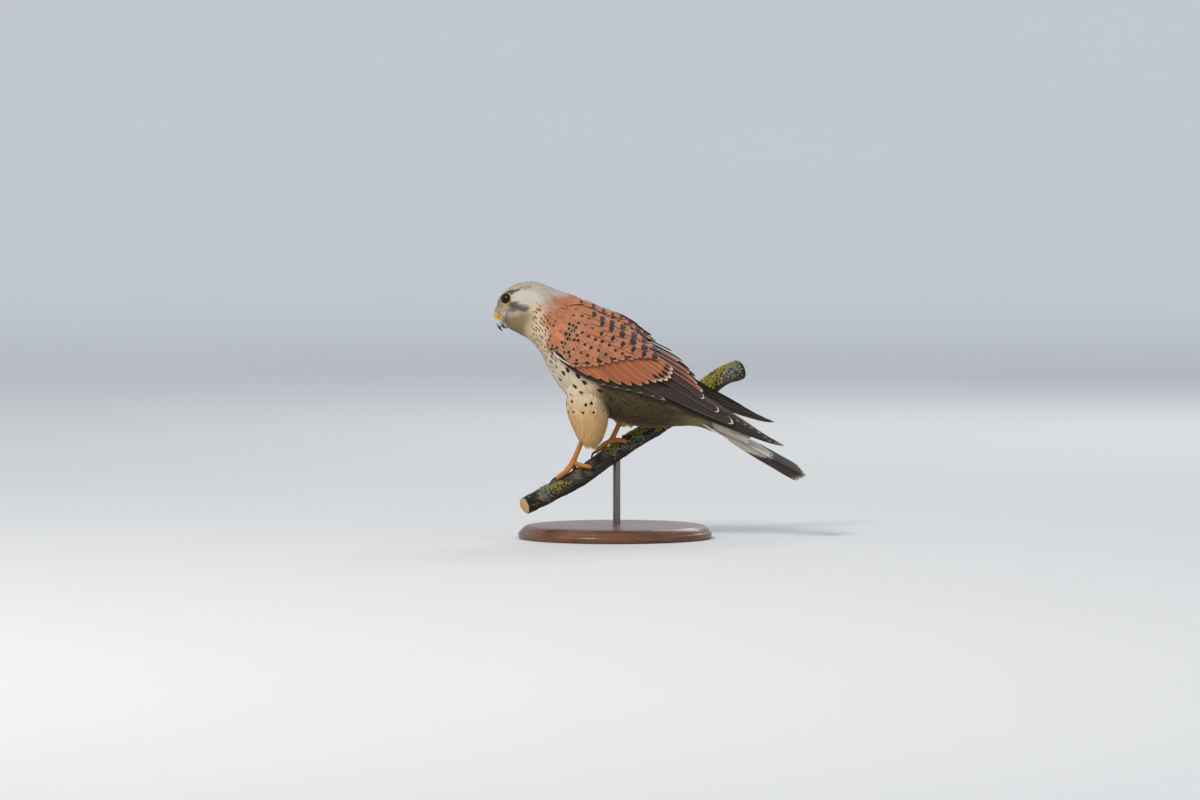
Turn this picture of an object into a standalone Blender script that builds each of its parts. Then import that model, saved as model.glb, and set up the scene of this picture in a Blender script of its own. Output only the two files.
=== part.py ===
"""A male common kestrel, standing on a cut length of branch that a plain display stand holds, at life size.

X runs from the bill to the tail, +Y is the bird's right side and Z is up. The origin is the centre of the
base's underside. The tables are in millimetres, and each length is multiplied by MM where it is used.
"""

import math

import bmesh
import bpy
import numpy as np
from mathutils import Matrix, Vector

MM = 0.001
GAP = 0.35
AROUND = 24

# The trunk of the bird is one loft. Each row joins a point on the back line to a point on the belly line:
# back x, back z, belly x, belly z, level of the widest place below the back (as a share), half width, twist,
# and how peaked the back is: 0.94 is a round back, and more leaves room for the wings beside a narrow ridge.
BODY = [
    (-110.5, 213.0, -99.0, 195.5, 0.50, 6.0, -8, 0.94),
    (-108.3, 222.4, -95.8, 193.6, 0.44, 10.8, -8, 0.94),
    (-103.2, 228.9, -90.2, 190.8, 0.40, 14.6, -8, 0.94),
    (-95.8, 234.5, -84.6, 187.6, 0.38, 16.4, -8, 0.94),
    (-85.6, 238.2, -79.0, 184.3, 0.38, 17.2, -7, 0.94),
    (-73.5, 238.4, -73.5, 178.7, 0.40, 18.0, -5, 0.94),
    (-62.3, 234.5, -67.9, 170.3, 0.44, 21.0, -3, 0.95),
    (-50.2, 229.4, -62.3, 159.2, 0.48, 25.5, -1, 1.00),
    (-33.5, 223.6, -53.9, 144.3, 0.52, 29.5, 0, 1.12),
    (-12.1, 209.5, -40.0, 129.4, 0.55, 31.5, 0, 1.25),
    (11.2, 194.0, -21.4, 118.3, 0.56, 32.0, 0, 1.32),
    (32.6, 175.5, -0.9, 110.4, 0.55, 30.5, 0, 1.32),
    (49.3, 159.5, 20.5, 104.4, 0.52, 26.5, 0, 1.25),
    (64.2, 146.9, 40.0, 102.9, 0.50, 21.5, 0, 1.12),
    (79.0, 136.0, 58.6, 104.5, 0.50, 17.5, 0, 1.00),
    (91.0, 126.0, 76.8, 104.2, 0.50, 14.0, 0, 0.94),
    (103.0, 115.5, 93.0, 98.5, 0.50, 12.0, 0, 0.94),
    (113.5, 103.0, 109.0, 92.5, 0.50, 9.5, 0, 0.94),
]
ROUNDNESS = 0.94
HEAD_END, NECK_END, TORSO_END = 5.4, 7.0, 15.0
HEAD_PLACES = np.linspace(0, HEAD_END, 12)
NECK_PLACES = np.linspace(HEAD_END, NECK_END, 4)
TORSO_PLACES = np.linspace(NECK_END, TORSO_END, 15)
TAIL_PLACES = np.linspace(TORSO_END, len(BODY) - 1, 4)
TRUNK_PLACES = np.concatenate([HEAD_PLACES, NECK_PLACES[1:], TORSO_PLACES[1:], TAIL_PLACES[1:]])

# The upper bill: culmen x, culmen z, cutting edge x, cutting edge z, half width.
UPPER_BILL = [
    (-110.9, 213.4, -101.8, 201.4, 5.5),
    (-112.2, 208.9, -103.4, 200.2, 4.9),
    (-111.9, 204.3, -104.3, 198.8, 4.1),
    (-110.7, 199.6, -105.1, 197.2, 3.0),
    (-108.6, 195.6, -105.9, 195.2, 1.9),
    (-105.2, 192.3, -104.5, 192.9, 0.5),
]
LOWER_BILL = [
    (-101.0, 200.6, -98.2, 195.2, 4.4),
    (-102.6, 198.3, -100.4, 194.7, 3.3),
    (-103.9, 196.0, -103.3, 195.2, 1.0),
]
NOSTRIL_RADIUS, NOSTRIL_SHARE = 0.8, 0.36

EYE_RADIUS, EYE_OPENING = 6.2, 4.7
EYE_ROW, EYE_TURN = 2.0, 60.0
LID_RADIUS = 0.75
BROW_RADIUS = 1.3

# The left wing's upper and lower edge, front to tip: x, y, z. The last table is how far it bulges out.
WING_UPPER = [
    (-57.7, -13, 213.0), (-32.6, -9, 219.5), (-9.3, -6, 209.0), (14.0, -4.5, 196.2), (37.2, -4.5, 178.0),
    (60.5, -5, 162.0), (79.0, -6.5, 144.3), (102.3, -8, 126.5), (130.2, -10, 106.5), (158.0, -12, 85.7),
]
WING_LOWER = [
    (-65.0, -25, 189.0), (-54.9, -31, 171.3), (-32.6, -36, 156.4), (-4.7, -36, 144.8), (27.9, -34, 133.5),
    (55.8, -29, 120.5), (79.0, -25, 110.5), (102.3, -21, 102.5), (130.2, -17, 92.3), (158.0, -13, 82.5),
]
WING_BULGE = [8, 12.5, 14, 14, 12.5, 10.5, 8, 5.5, 3.5, 1.5]
WING_LAST = len(WING_UPPER) - 1
RIGHT_WING_LIFT, RIGHT_WING_SPREAD, RIGHT_WING_FOLD = 3.6, 0.5, 0.925
SHOULDER = (-50.0, 12.0, 200.0)

# Tiers of the folded wing: count, then for the first and the last vane the root (along, across), the tip
# (along, across), height at the root and tip, and half width, then the tilt of each vane across its width.
WING_TIERS = {
    "primary": (7, (3.0, 0.62), (7.2, 0.30), (-3.2, -1.2), 4.4,
                (2.6, 0.90), (8.9, 0.80), (-7.6, -5.6), 4.6, 2),
    "secondary": (6, (2.3, 0.84), (7.1, 0.66), (-4.0, -0.2), 5.6,
                  (2.2, 0.20), (5.7, 0.12), (-3.0, 1.4), 6.4, 9),
    "greater_covert": (7, (1.35, 0.93), (3.7, 0.93), (-3.0, 0.6), 4.3,
                       (1.9, 0.25), (4.75, 0.30), (-2.6, 2.4), 4.6, 11),
    "primary_covert": (3, (0.9, 0.97), (3.1, 1.03), (-3.2, -1.0), 3.4,
                       (1.5, 0.97), (4.5, 0.93), (-3.2, -0.6), 3.8, 8),
    "median_covert": (7, (0.5, 0.90), (2.6, 0.90), (-2.8, 1.4), 4.4,
                      (1.3, 0.28), (3.3, 0.33), (-2.6, 3.2), 4.6, 11),
    "scapular": (6, (0.3, 0.20), (2.3, 0.20), (-3.0, 2.2), 5.4,
                 (2.3, 0.06), (4.9, 0.10), (-3.0, 2.6), 5.6, 6),
}
LONG_STATIONS, SHORT_STATIONS = (0, 0.3, 0.6, 0.88, 1), (0, 0.45, 0.82, 1)
VANE_THICKNESS = 0.55
SHAFT_THICKNESS = 0.85

TAIL_ROOT = (95.5, 0.0, 102.8)
TAIL_DROP, TAIL_ROLL = 31.2, 6.0
TAIL_LENGTH, TAIL_STEP = 95.0, 1.4
TAIL_PAIRS = 6
TAIL_FAN, TAIL_LAYER = 1.1, 0.85

# Each thigh: centre x, z, half length and half width of level sections, top to bottom.
LEFT_THIGH = [
    (-22.0, 148.0, 14.0, 7.0), (-25.0, 134.5, 19.0, 12.0), (-25.4, 122.5, 19.4, 14.6), (-24.8, 112.5, 17.6, 14.2),
    (-24.4, 103.3, 14.4, 12.2), (-24.0, 95.5, 11.2, 9.8), (-23.6, 90.4, 8.2, 7.4), (-23.4, 87.3, 5.0, 4.8),
]
RIGHT_THIGH = [
    (2.0, 150.0, 16.0, 9.0), (4.5, 137.0, 20.0, 14.0), (7.0, 125.0, 18.5, 15.0),
    (9.0, 115.0, 14.5, 12.5), (9.6, 108.5, 10.0, 9.5), (9.2, 104.5, 6.0, 6.0),
]
THIGH_SIDE = {"left": -18.0, "right": 20.0}
LEG_RADIUS = 2.3
LEFT_ANKLE, LEFT_JOINT = (-24.5, -17.0, 106.0), (-39.1, -13.5, 71.2)
RIGHT_ANKLE, RIGHT_JOINT = (12.5, 16.0, 124.0), (-3.4, 11.8, 90.0)
JOINT_RADIUS = 3.0

# The branch: x, y, z and radius, from its low near end to its high far end.
PERCH = [
    (-83.7, -45.6, 32.7, 7.6), (-63.2, -31.2, 42.0, 8.0), (-41.9, -16.3, 52.2, 8.6), (-27.9, -6.5, 60.1, 8.7),
    (-14.0, 3.3, 69.9, 8.5), (4.7, 16.3, 81.6, 8.3), (23.2, 29.3, 92.8, 8.3), (51.2, 48.8, 110.8, 8.4),
    (79.0, 68.4, 131.0, 8.5), (99.5, 82.7, 145.2, 8.8), (118.1, 95.7, 153.6, 9.2),
]
PERCH_SIDES, PERCH_RINGS = 12, 21
# Toes on the branch: how far the end lies along it from the joint, its angle round it, the arch, the radius.
LEFT_TOES = [(-21.5, 12, 2.5, 2.1), (-13.0, -82, 2.0, 2.2), (7.0, -78, 2.0, 2.1), (10.5, 62, 1.0, 2.1)]
RIGHT_TOES = [(-17.0, -40, 2.0, 2.1), (-9.0, -98, 2.0, 2.2), (8.0, -80, 2.0, 2.1), (9.0, 58, 1.0, 2.1)]
CLAW_LENGTH, CLAW_RADIUS, CLAW_ARCH = 9.0, 1.35, 1.6

BASE_RADIUS, BASE_HEIGHT, BASE_EDGE = 90.0, 12.0, 2.0
ROD_RADIUS, ROD_X = 3.5, 1.5

COLOURS = {
    "head_plumage": ((0.42, 0.40, 0.37), 0.9, 0.0),
    "breast_plumage": ((0.62, 0.47, 0.31), 0.9, 0.0),
    "wing_plumage": ((0.42, 0.15, 0.07), 0.85, 0.0),
    "tail_plumage": ((0.30, 0.28, 0.27), 0.8, 0.0),
    "thigh_plumage": ((0.63, 0.42, 0.22), 0.9, 0.0),
    "bill_horn": ((0.14, 0.15, 0.18), 0.35, 0.0),
    "eye": ((0.02, 0.012, 0.008), 0.08, 0.0),
    "leg_skin": ((0.75, 0.36, 0.05), 0.55, 0.0),
    "claw_horn": ((0.02, 0.02, 0.02), 0.3, 0.0),
    "bark": ((0.12, 0.11, 0.09), 0.95, 0.0),
    "stand_wood": ((0.20, 0.10, 0.05), 0.45, 0.0),
    "stand_metal": ((0.10, 0.10, 0.10), 0.4, 0.9),
}


def along(rows, place):
    """A smooth curve through evenly spaced rows (Catmull-Rom), read at places counted in rows from 0."""
    rows = np.asarray(rows, float).reshape(len(rows), -1)
    place = np.clip(np.asarray(place, float), 0, len(rows) - 1)
    start = np.minimum(place.astype(int), len(rows) - 2)
    share = (place - start)[..., None]
    padded = np.vstack([2 * rows[0] - rows[1], rows, 2 * rows[-1] - rows[-2]])
    a, b, c, d = (padded[start + k] for k in range(4))
    cubic = 2 * a - 5 * b + 4 * c - d + share * (3 * (b - c) + d - a)
    return b + 0.5 * share * (c - a + share * cubic)


def unit(v):
    """Vectors scaled to length 1."""
    return v / np.maximum(np.linalg.norm(v, axis=-1, keepdims=True), 1e-9)


def power(value, exponent):
    """A signed power, which squares off a circle a little."""
    return np.sign(value) * np.abs(value) ** exponent


def section_point(back, belly, level, width, twist, turn, peak=ROUNDNESS):
    """A point of a section at the angle turn from the back line; a positive turn is the bird's left side.

    The section is an oval that reaches the back point at 0 and the belly point at 180 degrees, and is
    widest at the level, turned about the level's middle by the twist. Its upper half has the peak's power.
    """
    middle = back + (belly - back) * level
    over = np.cos(turn)[..., None] >= 0
    exponent = np.where(over, peak, ROUNDNESS)
    upright = np.where(over, back - middle, middle - belly) * power(np.cos(turn)[..., None], exponent)
    side = -width * power(np.sin(turn)[..., None], exponent)
    spin = np.radians(twist)
    tall = unit(back - belly)
    height = (upright * tall).sum(-1, keepdims=True)
    turned_height = height * np.cos(spin) + side * np.sin(spin)
    turned_side = side * np.cos(spin) - height * np.sin(spin)
    flat = middle + tall * turned_height
    return np.concatenate([flat[..., :1], turned_side, flat[..., 1:]], axis=-1)


def body_point(place, turn, grow=0.0):
    """A point on the trunk, place counted in rows of BODY, optionally grown outwards."""
    place, turn = np.broadcast_arrays(np.asarray(place, float), np.asarray(turn, float))
    row = along(BODY, place)
    back, belly = row[..., 0:2], row[..., 2:4]
    tall = unit(back - belly) * grow
    level, width, twist, peak = (row[..., k : k + 1] for k in (4, 5, 6, 7))
    return section_point(back + tall, belly - tall, level, width + grow, twist, turn, peak)


def body_normal(place, turn):
    """The outward direction on the trunk, from two short steps along its surface."""
    step = 0.02
    ahead = body_point(place + step, turn) - body_point(place - step, turn)
    round_it = body_point(place, turn + step) - body_point(place, turn - step)
    return unit(np.cross(round_it, ahead))


def add_object(name, vertices, faces, slot):
    """A named mesh object from points in millimetres, with its faces turned outwards."""
    mesh = bpy.data.meshes.new(name)
    mesh.from_pydata([tuple(float(c) * MM for c in v) for v in vertices], [], faces)
    shape = bmesh.new()
    shape.from_mesh(mesh)
    bmesh.ops.recalc_face_normals(shape, faces=shape.faces)
    shape.to_mesh(mesh)
    shape.free()
    obj = bpy.data.objects.new(name, mesh)
    if slot:
        mesh.materials.append(MATERIALS[slot])
    bpy.context.scene.collection.objects.link(obj)
    return obj


def rings_object(name, rings, slot):
    """A closed body through rings of equal point counts, its two ends capped flat."""
    count = len(rings[0])
    faces = [list(range(count))[::-1], [(len(rings) - 1) * count + k for k in range(count)]]
    for i in range(len(rings) - 1):
        for k in range(count):
            j = (k + 1) % count
            faces.append((i * count + k, i * count + j, (i + 1) * count + j, (i + 1) * count + k))
    return add_object(name, np.concatenate(rings), faces, slot)


def body_rings(places, grow=0.0):
    """Rings of the trunk at places along it."""
    turns = np.linspace(0, 2 * np.pi, AROUND, endpoint=False)
    return [body_point(p, turns, grow) for p in places]


def trunk_cutter(first=0.0):
    """The trunk from a place to its end, a gap larger all round and at both ends, to cut its neighbours with."""
    rings = body_rings(TRUNK_PLACES[TRUNK_PLACES >= first], GAP)
    for end, inner in ((0, 1), (-1, -2)):
        face = np.cross(rings[end][0] - rings[end][AROUND // 2], [0, 1, 0])
        outward = rings[end].mean(0) - rings[inner].mean(0)
        rings[end] = rings[end] + unit(face) * np.sign(face @ outward) * GAP
    return rings_object("trunk_cutter", rings, None)


def tube_object(name, path, radii, slot, sides=8):
    """A round tube of changing radius along a path, with flat ends."""
    path = np.asarray(path, float)
    heading = unit(np.gradient(path, axis=0))
    side = unit(np.cross(heading, np.tile([0.31, 0.2, 0.93], (len(path), 1))))
    up = np.cross(side, heading)
    angles = np.linspace(0, 2 * np.pi, sides, endpoint=False)
    rings = [
        p + r * (np.outer(np.cos(angles), s) + np.outer(np.sin(angles), u))
        for p, r, s, u in zip(path, radii, side, up)
    ]
    return rings_object(name, rings, slot)


def ball_object(name, centre, radius, slot, segments=16, rings=10, scale=(1, 1, 1), turn=None):
    """A ball, stretched and turned where asked."""
    mesh = bpy.data.meshes.new(name)
    shape = bmesh.new()
    bmesh.ops.create_uvsphere(shape, u_segments=segments, v_segments=rings, radius=radius * MM)
    place = Matrix.Translation(Vector(centre) * MM)
    if turn is not None:
        place = place @ turn.to_4x4()
    shape.transform(place @ Matrix.Diagonal((*scale, 1)))
    shape.to_mesh(mesh)
    shape.free()
    obj = bpy.data.objects.new(name, mesh)
    if slot:
        mesh.materials.append(MATERIALS[slot])
    bpy.context.scene.collection.objects.link(obj)
    return obj


def boolean(obj, others, operation, solver="EXACT"):
    """Joins or cuts one object with a collection of others, applies it and removes the others."""
    tools = bpy.data.collections.new("tools")
    bpy.context.scene.collection.children.link(tools)
    for other in others:
        tools.objects.link(other)
        bpy.context.scene.collection.objects.unlink(other)
    modifier = obj.modifiers.new("join", "BOOLEAN")
    modifier.operation = operation
    modifier.operand_type = "COLLECTION"
    modifier.collection = tools
    modifier.solver = solver
    graph = bpy.context.evaluated_depsgraph_get()
    mesh = bpy.data.meshes.new_from_object(obj.evaluated_get(graph))
    obj.modifiers.clear()
    obj.data = mesh
    for other in others:
        bpy.data.objects.remove(other)
    bpy.data.collections.remove(tools)
    return obj


def keep_largest(obj):
    """Keeps only the largest closed surface of a mesh, merged where its points coincide."""
    shape = bmesh.new()
    shape.from_mesh(obj.data)
    bmesh.ops.remove_doubles(shape, verts=shape.verts, dist=0.004 * MM)
    bmesh.ops.triangulate(shape, faces=shape.faces)
    left, groups = set(shape.verts), []
    while left:
        todo = [left.pop()]
        group = set(todo)
        while todo:
            for edge in todo.pop().link_edges:
                for vertex in edge.verts:
                    if vertex in left:
                        left.discard(vertex)
                        group.add(vertex)
                        todo.append(vertex)
        groups.append(group)
    size = [sum(f.calc_area() for f in {f for v in g for f in v.link_faces}) for g in groups]
    best = groups[size.index(max(size))]
    bmesh.ops.delete(shape, geom=[v for v in shape.verts if v not in best], context="VERTS")
    shape.to_mesh(obj.data)
    shape.free()
    return obj


def smooth(obj, angle=35):
    """Smooth shading with sharp edges past an angle."""
    obj.data.shade_smooth()
    obj.data.set_sharp_from_angle(angle=math.radians(angle))
    return obj


def make_materials():
    """One Principled material for each finish."""
    made = {}
    for name, (colour, roughness, metallic) in COLOURS.items():
        material = bpy.data.materials.new(name)
        material.use_nodes = True
        shader = material.node_tree.nodes["Principled BSDF"]
        shader.inputs["Base Color"].default_value = (*colour, 1)
        shader.inputs["Roughness"].default_value = roughness
        shader.inputs["Metallic"].default_value = metallic
        made[name] = material
    return made


def vane_object(name, centres, sides, normals, outer, inner):
    """A feather's vane as a thin closed body: each ring has an outer edge, a raised shaft and an inner edge.

    Both faces are split into triangles alike, so that they can't cross where the vane curves.
    """
    half, shaft = VANE_THICKNESS / 2, SHAFT_THICKNESS / 2
    out = centres + sides * outer[:, None]
    inn = centres - sides * inner[:, None]
    rings = np.stack([
        out + normals * half, centres + normals * shaft, inn + normals * half,
        inn - normals * half, centres - normals * shaft, out - normals * half,
    ], axis=1)
    faces = [(0, 1, 4, 5), (1, 2, 3, 4)]
    for i in range(len(centres) - 1):
        a, b = [6 * i + k for k in range(6)], [6 * i + 6 + k for k in range(6)]
        faces += [(a[0], a[1], b[0]), (a[1], b[1], b[0]), (a[1], a[2], b[2]), (a[1], b[2], b[1])]
        faces += [(a[5], b[5], a[4]), (a[4], b[5], b[4]), (a[4], b[3], a[3]), (a[4], b[4], b[3])]
        faces += [(a[2], a[3], b[3]), (a[2], b[3], b[2]), (a[5], a[0], b[0]), (a[5], b[0], b[5])]
    end = 6 * (len(centres) - 1)
    faces += [(end, end + 1, end + 4, end + 5), (end + 1, end + 2, end + 3, end + 4)]
    return add_object(name, rings.reshape(-1, 3), faces, None)


def vane_widths(share, widest, tip=0.12):
    """Half width along a vane: it grows from the root, stays wide and closes in a rounded point."""
    body = 0.55 + 0.45 * np.minimum(share / 0.35, 1)
    close = np.sqrt(np.clip(1 - np.clip((share - 0.7) / 0.3, 0, 1) ** 2.2, 0, 1))
    return widest * body * np.maximum(close, tip)


def wing_point(place, across, height=0.0):
    """A point of the left wing's outer surface: along it in rows, across it from 0 at the back to 1.

    The surface is ruled between the upper and lower edge and bulges outwards between them.
    """
    place, across = np.broadcast_arrays(np.asarray(place, float), np.asarray(across, float))
    step = 0.02

    def flat(p, q):
        upper, lower = along(WING_UPPER, p), along(WING_LOWER, p)
        chord = lower - upper
        run = along(WING_UPPER, p + step) + along(WING_LOWER, p + step) - upper - lower
        run = np.where(p[..., None] > WING_LAST - step, np.array([0.80, 0.0, -0.60]), run)
        out = unit(np.cross(chord, run))
        out = out * np.where(out[..., 1:2] > 0, -1, 1)
        bulge = along(WING_BULGE, p) * np.sin(np.pi * q)[..., None]
        return upper + chord * q[..., None] + out * bulge

    base = flat(place, across)
    near = np.minimum(place, WING_LAST - 2 * step)
    ahead = flat(near + step, across) - flat(near, across)
    down = flat(near, across + step) - flat(near, across - step)
    normal = unit(np.cross(down, ahead))
    normal = normal * np.where(normal[..., 1:2] > 0, -1, 1)
    return base + normal * np.asarray(height, float)[..., None], normal


def mirrored(points, right):
    """The right wing is the left one mirrored, folded closer, and lifted and spread a little at the shoulder."""
    if not right:
        return points
    points = (np.array(points, float) * [1, -1, 1] - SHOULDER) * [RIGHT_WING_FOLD, 1, RIGHT_WING_FOLD]
    turn = Matrix.Rotation(math.radians(RIGHT_WING_SPREAD), 3, "Z")
    turn = turn @ Matrix.Rotation(math.radians(-RIGHT_WING_LIFT), 3, "Y")
    return points @ np.array(turn).T + SHOULDER


def wing_vane(name, right, root, tip, heights, widest, tilt, long):
    """One vane that lies along the wing's surface from its root to its tip, tilted across like a shingle."""
    share = np.array(LONG_STATIONS if long else SHORT_STATIONS)
    place = root[0] + (tip[0] - root[0]) * share
    across = root[1] + (tip[1] - root[1]) * share
    height = heights[0] + (heights[1] - heights[0]) * share ** 0.7
    centres, normals = wing_point(place, across, height)
    heading = unit(np.gradient(centres, axis=0))
    sides = unit(np.cross(heading, normals))
    lean = math.radians(tilt)
    tilted = sides * math.cos(lean) + normals * math.sin(lean)
    normals = normals * math.cos(lean) - sides * math.sin(lean)
    width = vane_widths(share, widest)
    ends = [centres, centres + tilted, centres + normals]
    centres, side_ends, normal_ends = (mirrored(e, right) for e in ends)
    return vane_object(name, centres, side_ends - centres, normal_ends - centres, width, width)


def wing_core(name, right):
    """The arm and hand under the feathers: a slab that follows the wing's surface and thins at its rim."""
    last, rings, columns = 5.3, 10, 7
    places = np.linspace(0, last, rings)
    outline = []
    for place in places:
        rim = min(1.0, 0.45 + place * 0.9) * min(1.0, 0.5 + (last - place) * 0.5)
        across = np.linspace(0.02, 0.98 - 0.03 * place, columns)
        hollow = np.sin(np.pi * across) ** 0.5
        outer, _ = wing_point(place, across, -1.0 - 0.8 * (1 - hollow))
        inner, _ = wing_point(place, across, -2.4 - 8.6 * hollow * rim)
        outline.append(np.concatenate([outer, inner[::-1]]))
    return rings_object(name, [mirrored(ring, right) for ring in outline], "wing_plumage")


def make_wing(side):
    """A folded wing: its core and the tiers of vanes, cut clear of the trunk."""
    right = side == "right"
    core = wing_core("wing_" + side, right)
    vanes = []
    for kind, tier in WING_TIERS.items():
        count, first, last, tilt = tier[0], tier[1:5], tier[5:9], tier[9]
        for k in range(count):
            q = k / (count - 1)
            root, tip, heights = (np.array(a) + (np.array(b) - a) * q for a, b in zip(first[:3], last[:3]))
            if kind == "primary":
                tip[0] = first[1][0] + (last[1][0] - first[1][0]) * q**0.75
            widest = first[3] + (last[3] - first[3]) * q
            vanes.append(wing_vane(f"{kind}_{k}", right, root, tip, heights, widest, tilt, kind == "primary"))
    boolean(core, vanes, "UNION", "MANIFOLD")
    boolean(core, [trunk_cutter(4.0)], "DIFFERENCE", "MANIFOLD")
    return smooth(keep_largest(core))


def trunk_node(name, places, slot, cut_start=True):
    """One length of the trunk. It starts a gap behind the length before it."""
    rings = body_rings(places)
    if cut_start:
        ahead = unit(np.cross(rings[0][0] - rings[0][AROUND // 2], [0, 1, 0]))
        ahead = ahead * np.sign(ahead @ (rings[-1].mean(0) - rings[0].mean(0)))
        rings[0] = rings[0] + ahead * GAP
    return rings_object(name, rings, slot)


def eye_frame(side):
    """The centre of an eye and the direction that it looks in."""
    turn = np.radians(EYE_TURN) * (1 if side == "left" else -1)
    point, normal = body_point(EYE_ROW, turn), body_normal(EYE_ROW, turn)
    depth = math.sqrt(EYE_RADIUS**2 - EYE_OPENING**2)
    return point - normal * depth, normal


def make_head():
    """The head with its brows, lids and sockets, and the line of the mouth behind the bill."""
    head = trunk_node("head", HEAD_PLACES, "head_plumage", cut_start=False)
    added, cutters = [], []
    for side, sign in (("left", 1), ("right", -1)):
        centre, look = eye_frame(side)
        ball_object("eye_" + side, centre, EYE_RADIUS, "eye", 14, 8)
        cutters.append(ball_object("socket_" + side, centre, EYE_RADIUS + GAP, None, 14, 8))
        across = unit(np.cross(look, [0, 0, 1]))
        up = np.cross(across, look)
        turns = np.linspace(0, 2 * np.pi, 17)[:-1]
        rim = centre + look * (EYE_RADIUS * 0.62)
        path = [rim + (EYE_OPENING + 0.55) * (math.cos(a) * across + math.sin(a) * up) for a in turns]
        added.append(ring_object("lid_" + side, path, rim, look, LID_RADIUS))
        brow_places, brow_turns = np.array([0.9, 1.5, 2.1, 2.8, 3.5]), np.radians([38, 30, 28, 30, 36]) * sign
        brow = body_point(brow_places, brow_turns, -0.5)
        added.append(tube_object("brow_" + side, brow, BROW_RADIUS * np.array([0.5, 1, 1.1, 0.9, 0.4]), None, 6))
        mouth = body_point(np.array([-0.1, 0.5, 1.1]), np.radians([104, 92, 80]) * sign, 0.2)
        cutters.append(tube_object("mouth_" + side, mouth, [0.45, 0.45, 0.25], None, 6))
    boolean(head, added, "UNION")
    boolean(head, cutters, "DIFFERENCE")
    return smooth(keep_largest(head))


def ring_object(name, path, centre, axis, radius, sides=5):
    """A closed ring of round section through a path about an axis, as an eyelid."""
    angles = np.linspace(0, 2 * np.pi, sides, endpoint=False)
    rings = []
    for p in path:
        outward = unit(p - centre)
        rings.append(p + radius * (np.outer(np.cos(angles), outward) + np.outer(np.sin(angles), axis)))
    faces = []
    for i in range(len(rings)):
        n = (i + 1) % len(rings)
        for k in range(sides):
            j = (k + 1) % sides
            faces.append((i * sides + k, i * sides + j, n * sides + j, n * sides + k))
    return add_object(name, np.concatenate(rings), faces, None)


def bill_rings(rows, count, around, level=0.5):
    """Rings of a mandible, from rows of top x, top z, bottom x, bottom z and half width."""
    turns = np.linspace(0, 2 * np.pi, around, endpoint=False)
    rings = []
    for place in np.linspace(0, len(rows) - 1, count):
        row = along(rows, place)
        top, bottom = np.tile(row[0:2], (around, 1)), np.tile(row[2:4], (around, 1))
        width = np.full((around, 1), row[4])
        rings.append(section_point(top, bottom, level, width, -8.0, turns))
    return rings


def make_bill():
    """The hooked upper mandible with its cere and nostrils, and the lower one under it."""
    rings = bill_rings(UPPER_BILL, 12, 16)
    rings.insert(0, rings[0] + unit(rings[0].mean(0) - rings[1].mean(0)) * 1.5)
    upper = rings_object("bill_upper", rings, "bill_horn")
    cutters = [trunk_cutter()]
    for sign in (1, -1):
        row = along(UPPER_BILL, 0.9)
        top, bottom, width = row[0:2], row[2:4], np.array([[row[4]]])
        spot = section_point(top[None], bottom[None], 0.5, width, -8.0, np.array([sign * 1.25]))[0]
        cutters.append(ball_object("nostril", spot, NOSTRIL_RADIUS, None, 8, 6))
    boolean(upper, cutters, "DIFFERENCE")
    smooth(keep_largest(upper))
    lower = rings_object("bill_lower", bill_rings(LOWER_BILL, 6, 12), "bill_horn")
    head_cut = trunk_cutter()
    upper_cut = rings_object("upper_cutter", bill_rings(UPPER_BILL, 10, 16), None)
    for cutter in (head_cut, upper_cut):
        boolean(lower, [cutter], "DIFFERENCE")
    smooth(keep_largest(lower))


def tail_frame():
    """The tail's direction, the side to the bird's left and the normal of its upper face."""
    drop, roll = math.radians(TAIL_DROP), math.radians(TAIL_ROLL)
    ahead = np.array([math.cos(drop), 0, -math.sin(drop)])
    flat_normal = np.array([math.sin(drop), 0, math.cos(drop)])
    left = np.array([0.0, -1.0, 0.0])
    normal = flat_normal * math.cos(roll) + left * math.sin(roll)
    return ahead, left * math.cos(roll) - flat_normal * math.sin(roll), normal


def make_tail():
    """The tail: its root of coverts and the twelve rectrices as overlapping vanes in layers."""
    core = trunk_node("tail", TAIL_PLACES, "tail_plumage")
    ahead, left, normal = tail_frame()
    share = np.array([0, 0.25, 0.5, 0.75, 0.93, 1.0])
    vanes = []
    for pair in range(TAIL_PAIRS):
        for sign in (1, -1):
            fan = math.radians(0.6 + TAIL_FAN * pair) * sign
            heading = ahead * math.cos(fan) + left * math.sin(fan)
            length = TAIL_LENGTH - TAIL_STEP * pair
            layer = -TAIL_LAYER * pair if pair or sign < 0 else TAIL_LAYER
            root = np.array(TAIL_ROOT) + left * sign * (1.0 + 1.15 * pair) + normal * (layer + 1.5)
            centres = root + np.outer(share * length, heading)
            centres = centres - np.outer(share**2 * 1.5, normal)
            offset = 1.0 + 1.15 * pair + share * length * math.sin(abs(fan))
            outer = vane_widths(share, 5.4 if pair < TAIL_PAIRS - 1 else 3.6, 0.2)
            inner = vane_widths(share, 9.0 if pair else 6.0, 0.2)
            if pair:
                inner = np.minimum(inner, offset - 0.35)
            sides = np.tile(left * sign, (len(share), 1))
            normals = np.tile(normal, (len(share), 1))
            vanes.append(vane_object(f"rectrix_{pair}_{sign}", centres, sides, normals, outer, inner))
    boolean(core, vanes, "UNION")
    return smooth(keep_largest(core))


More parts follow.
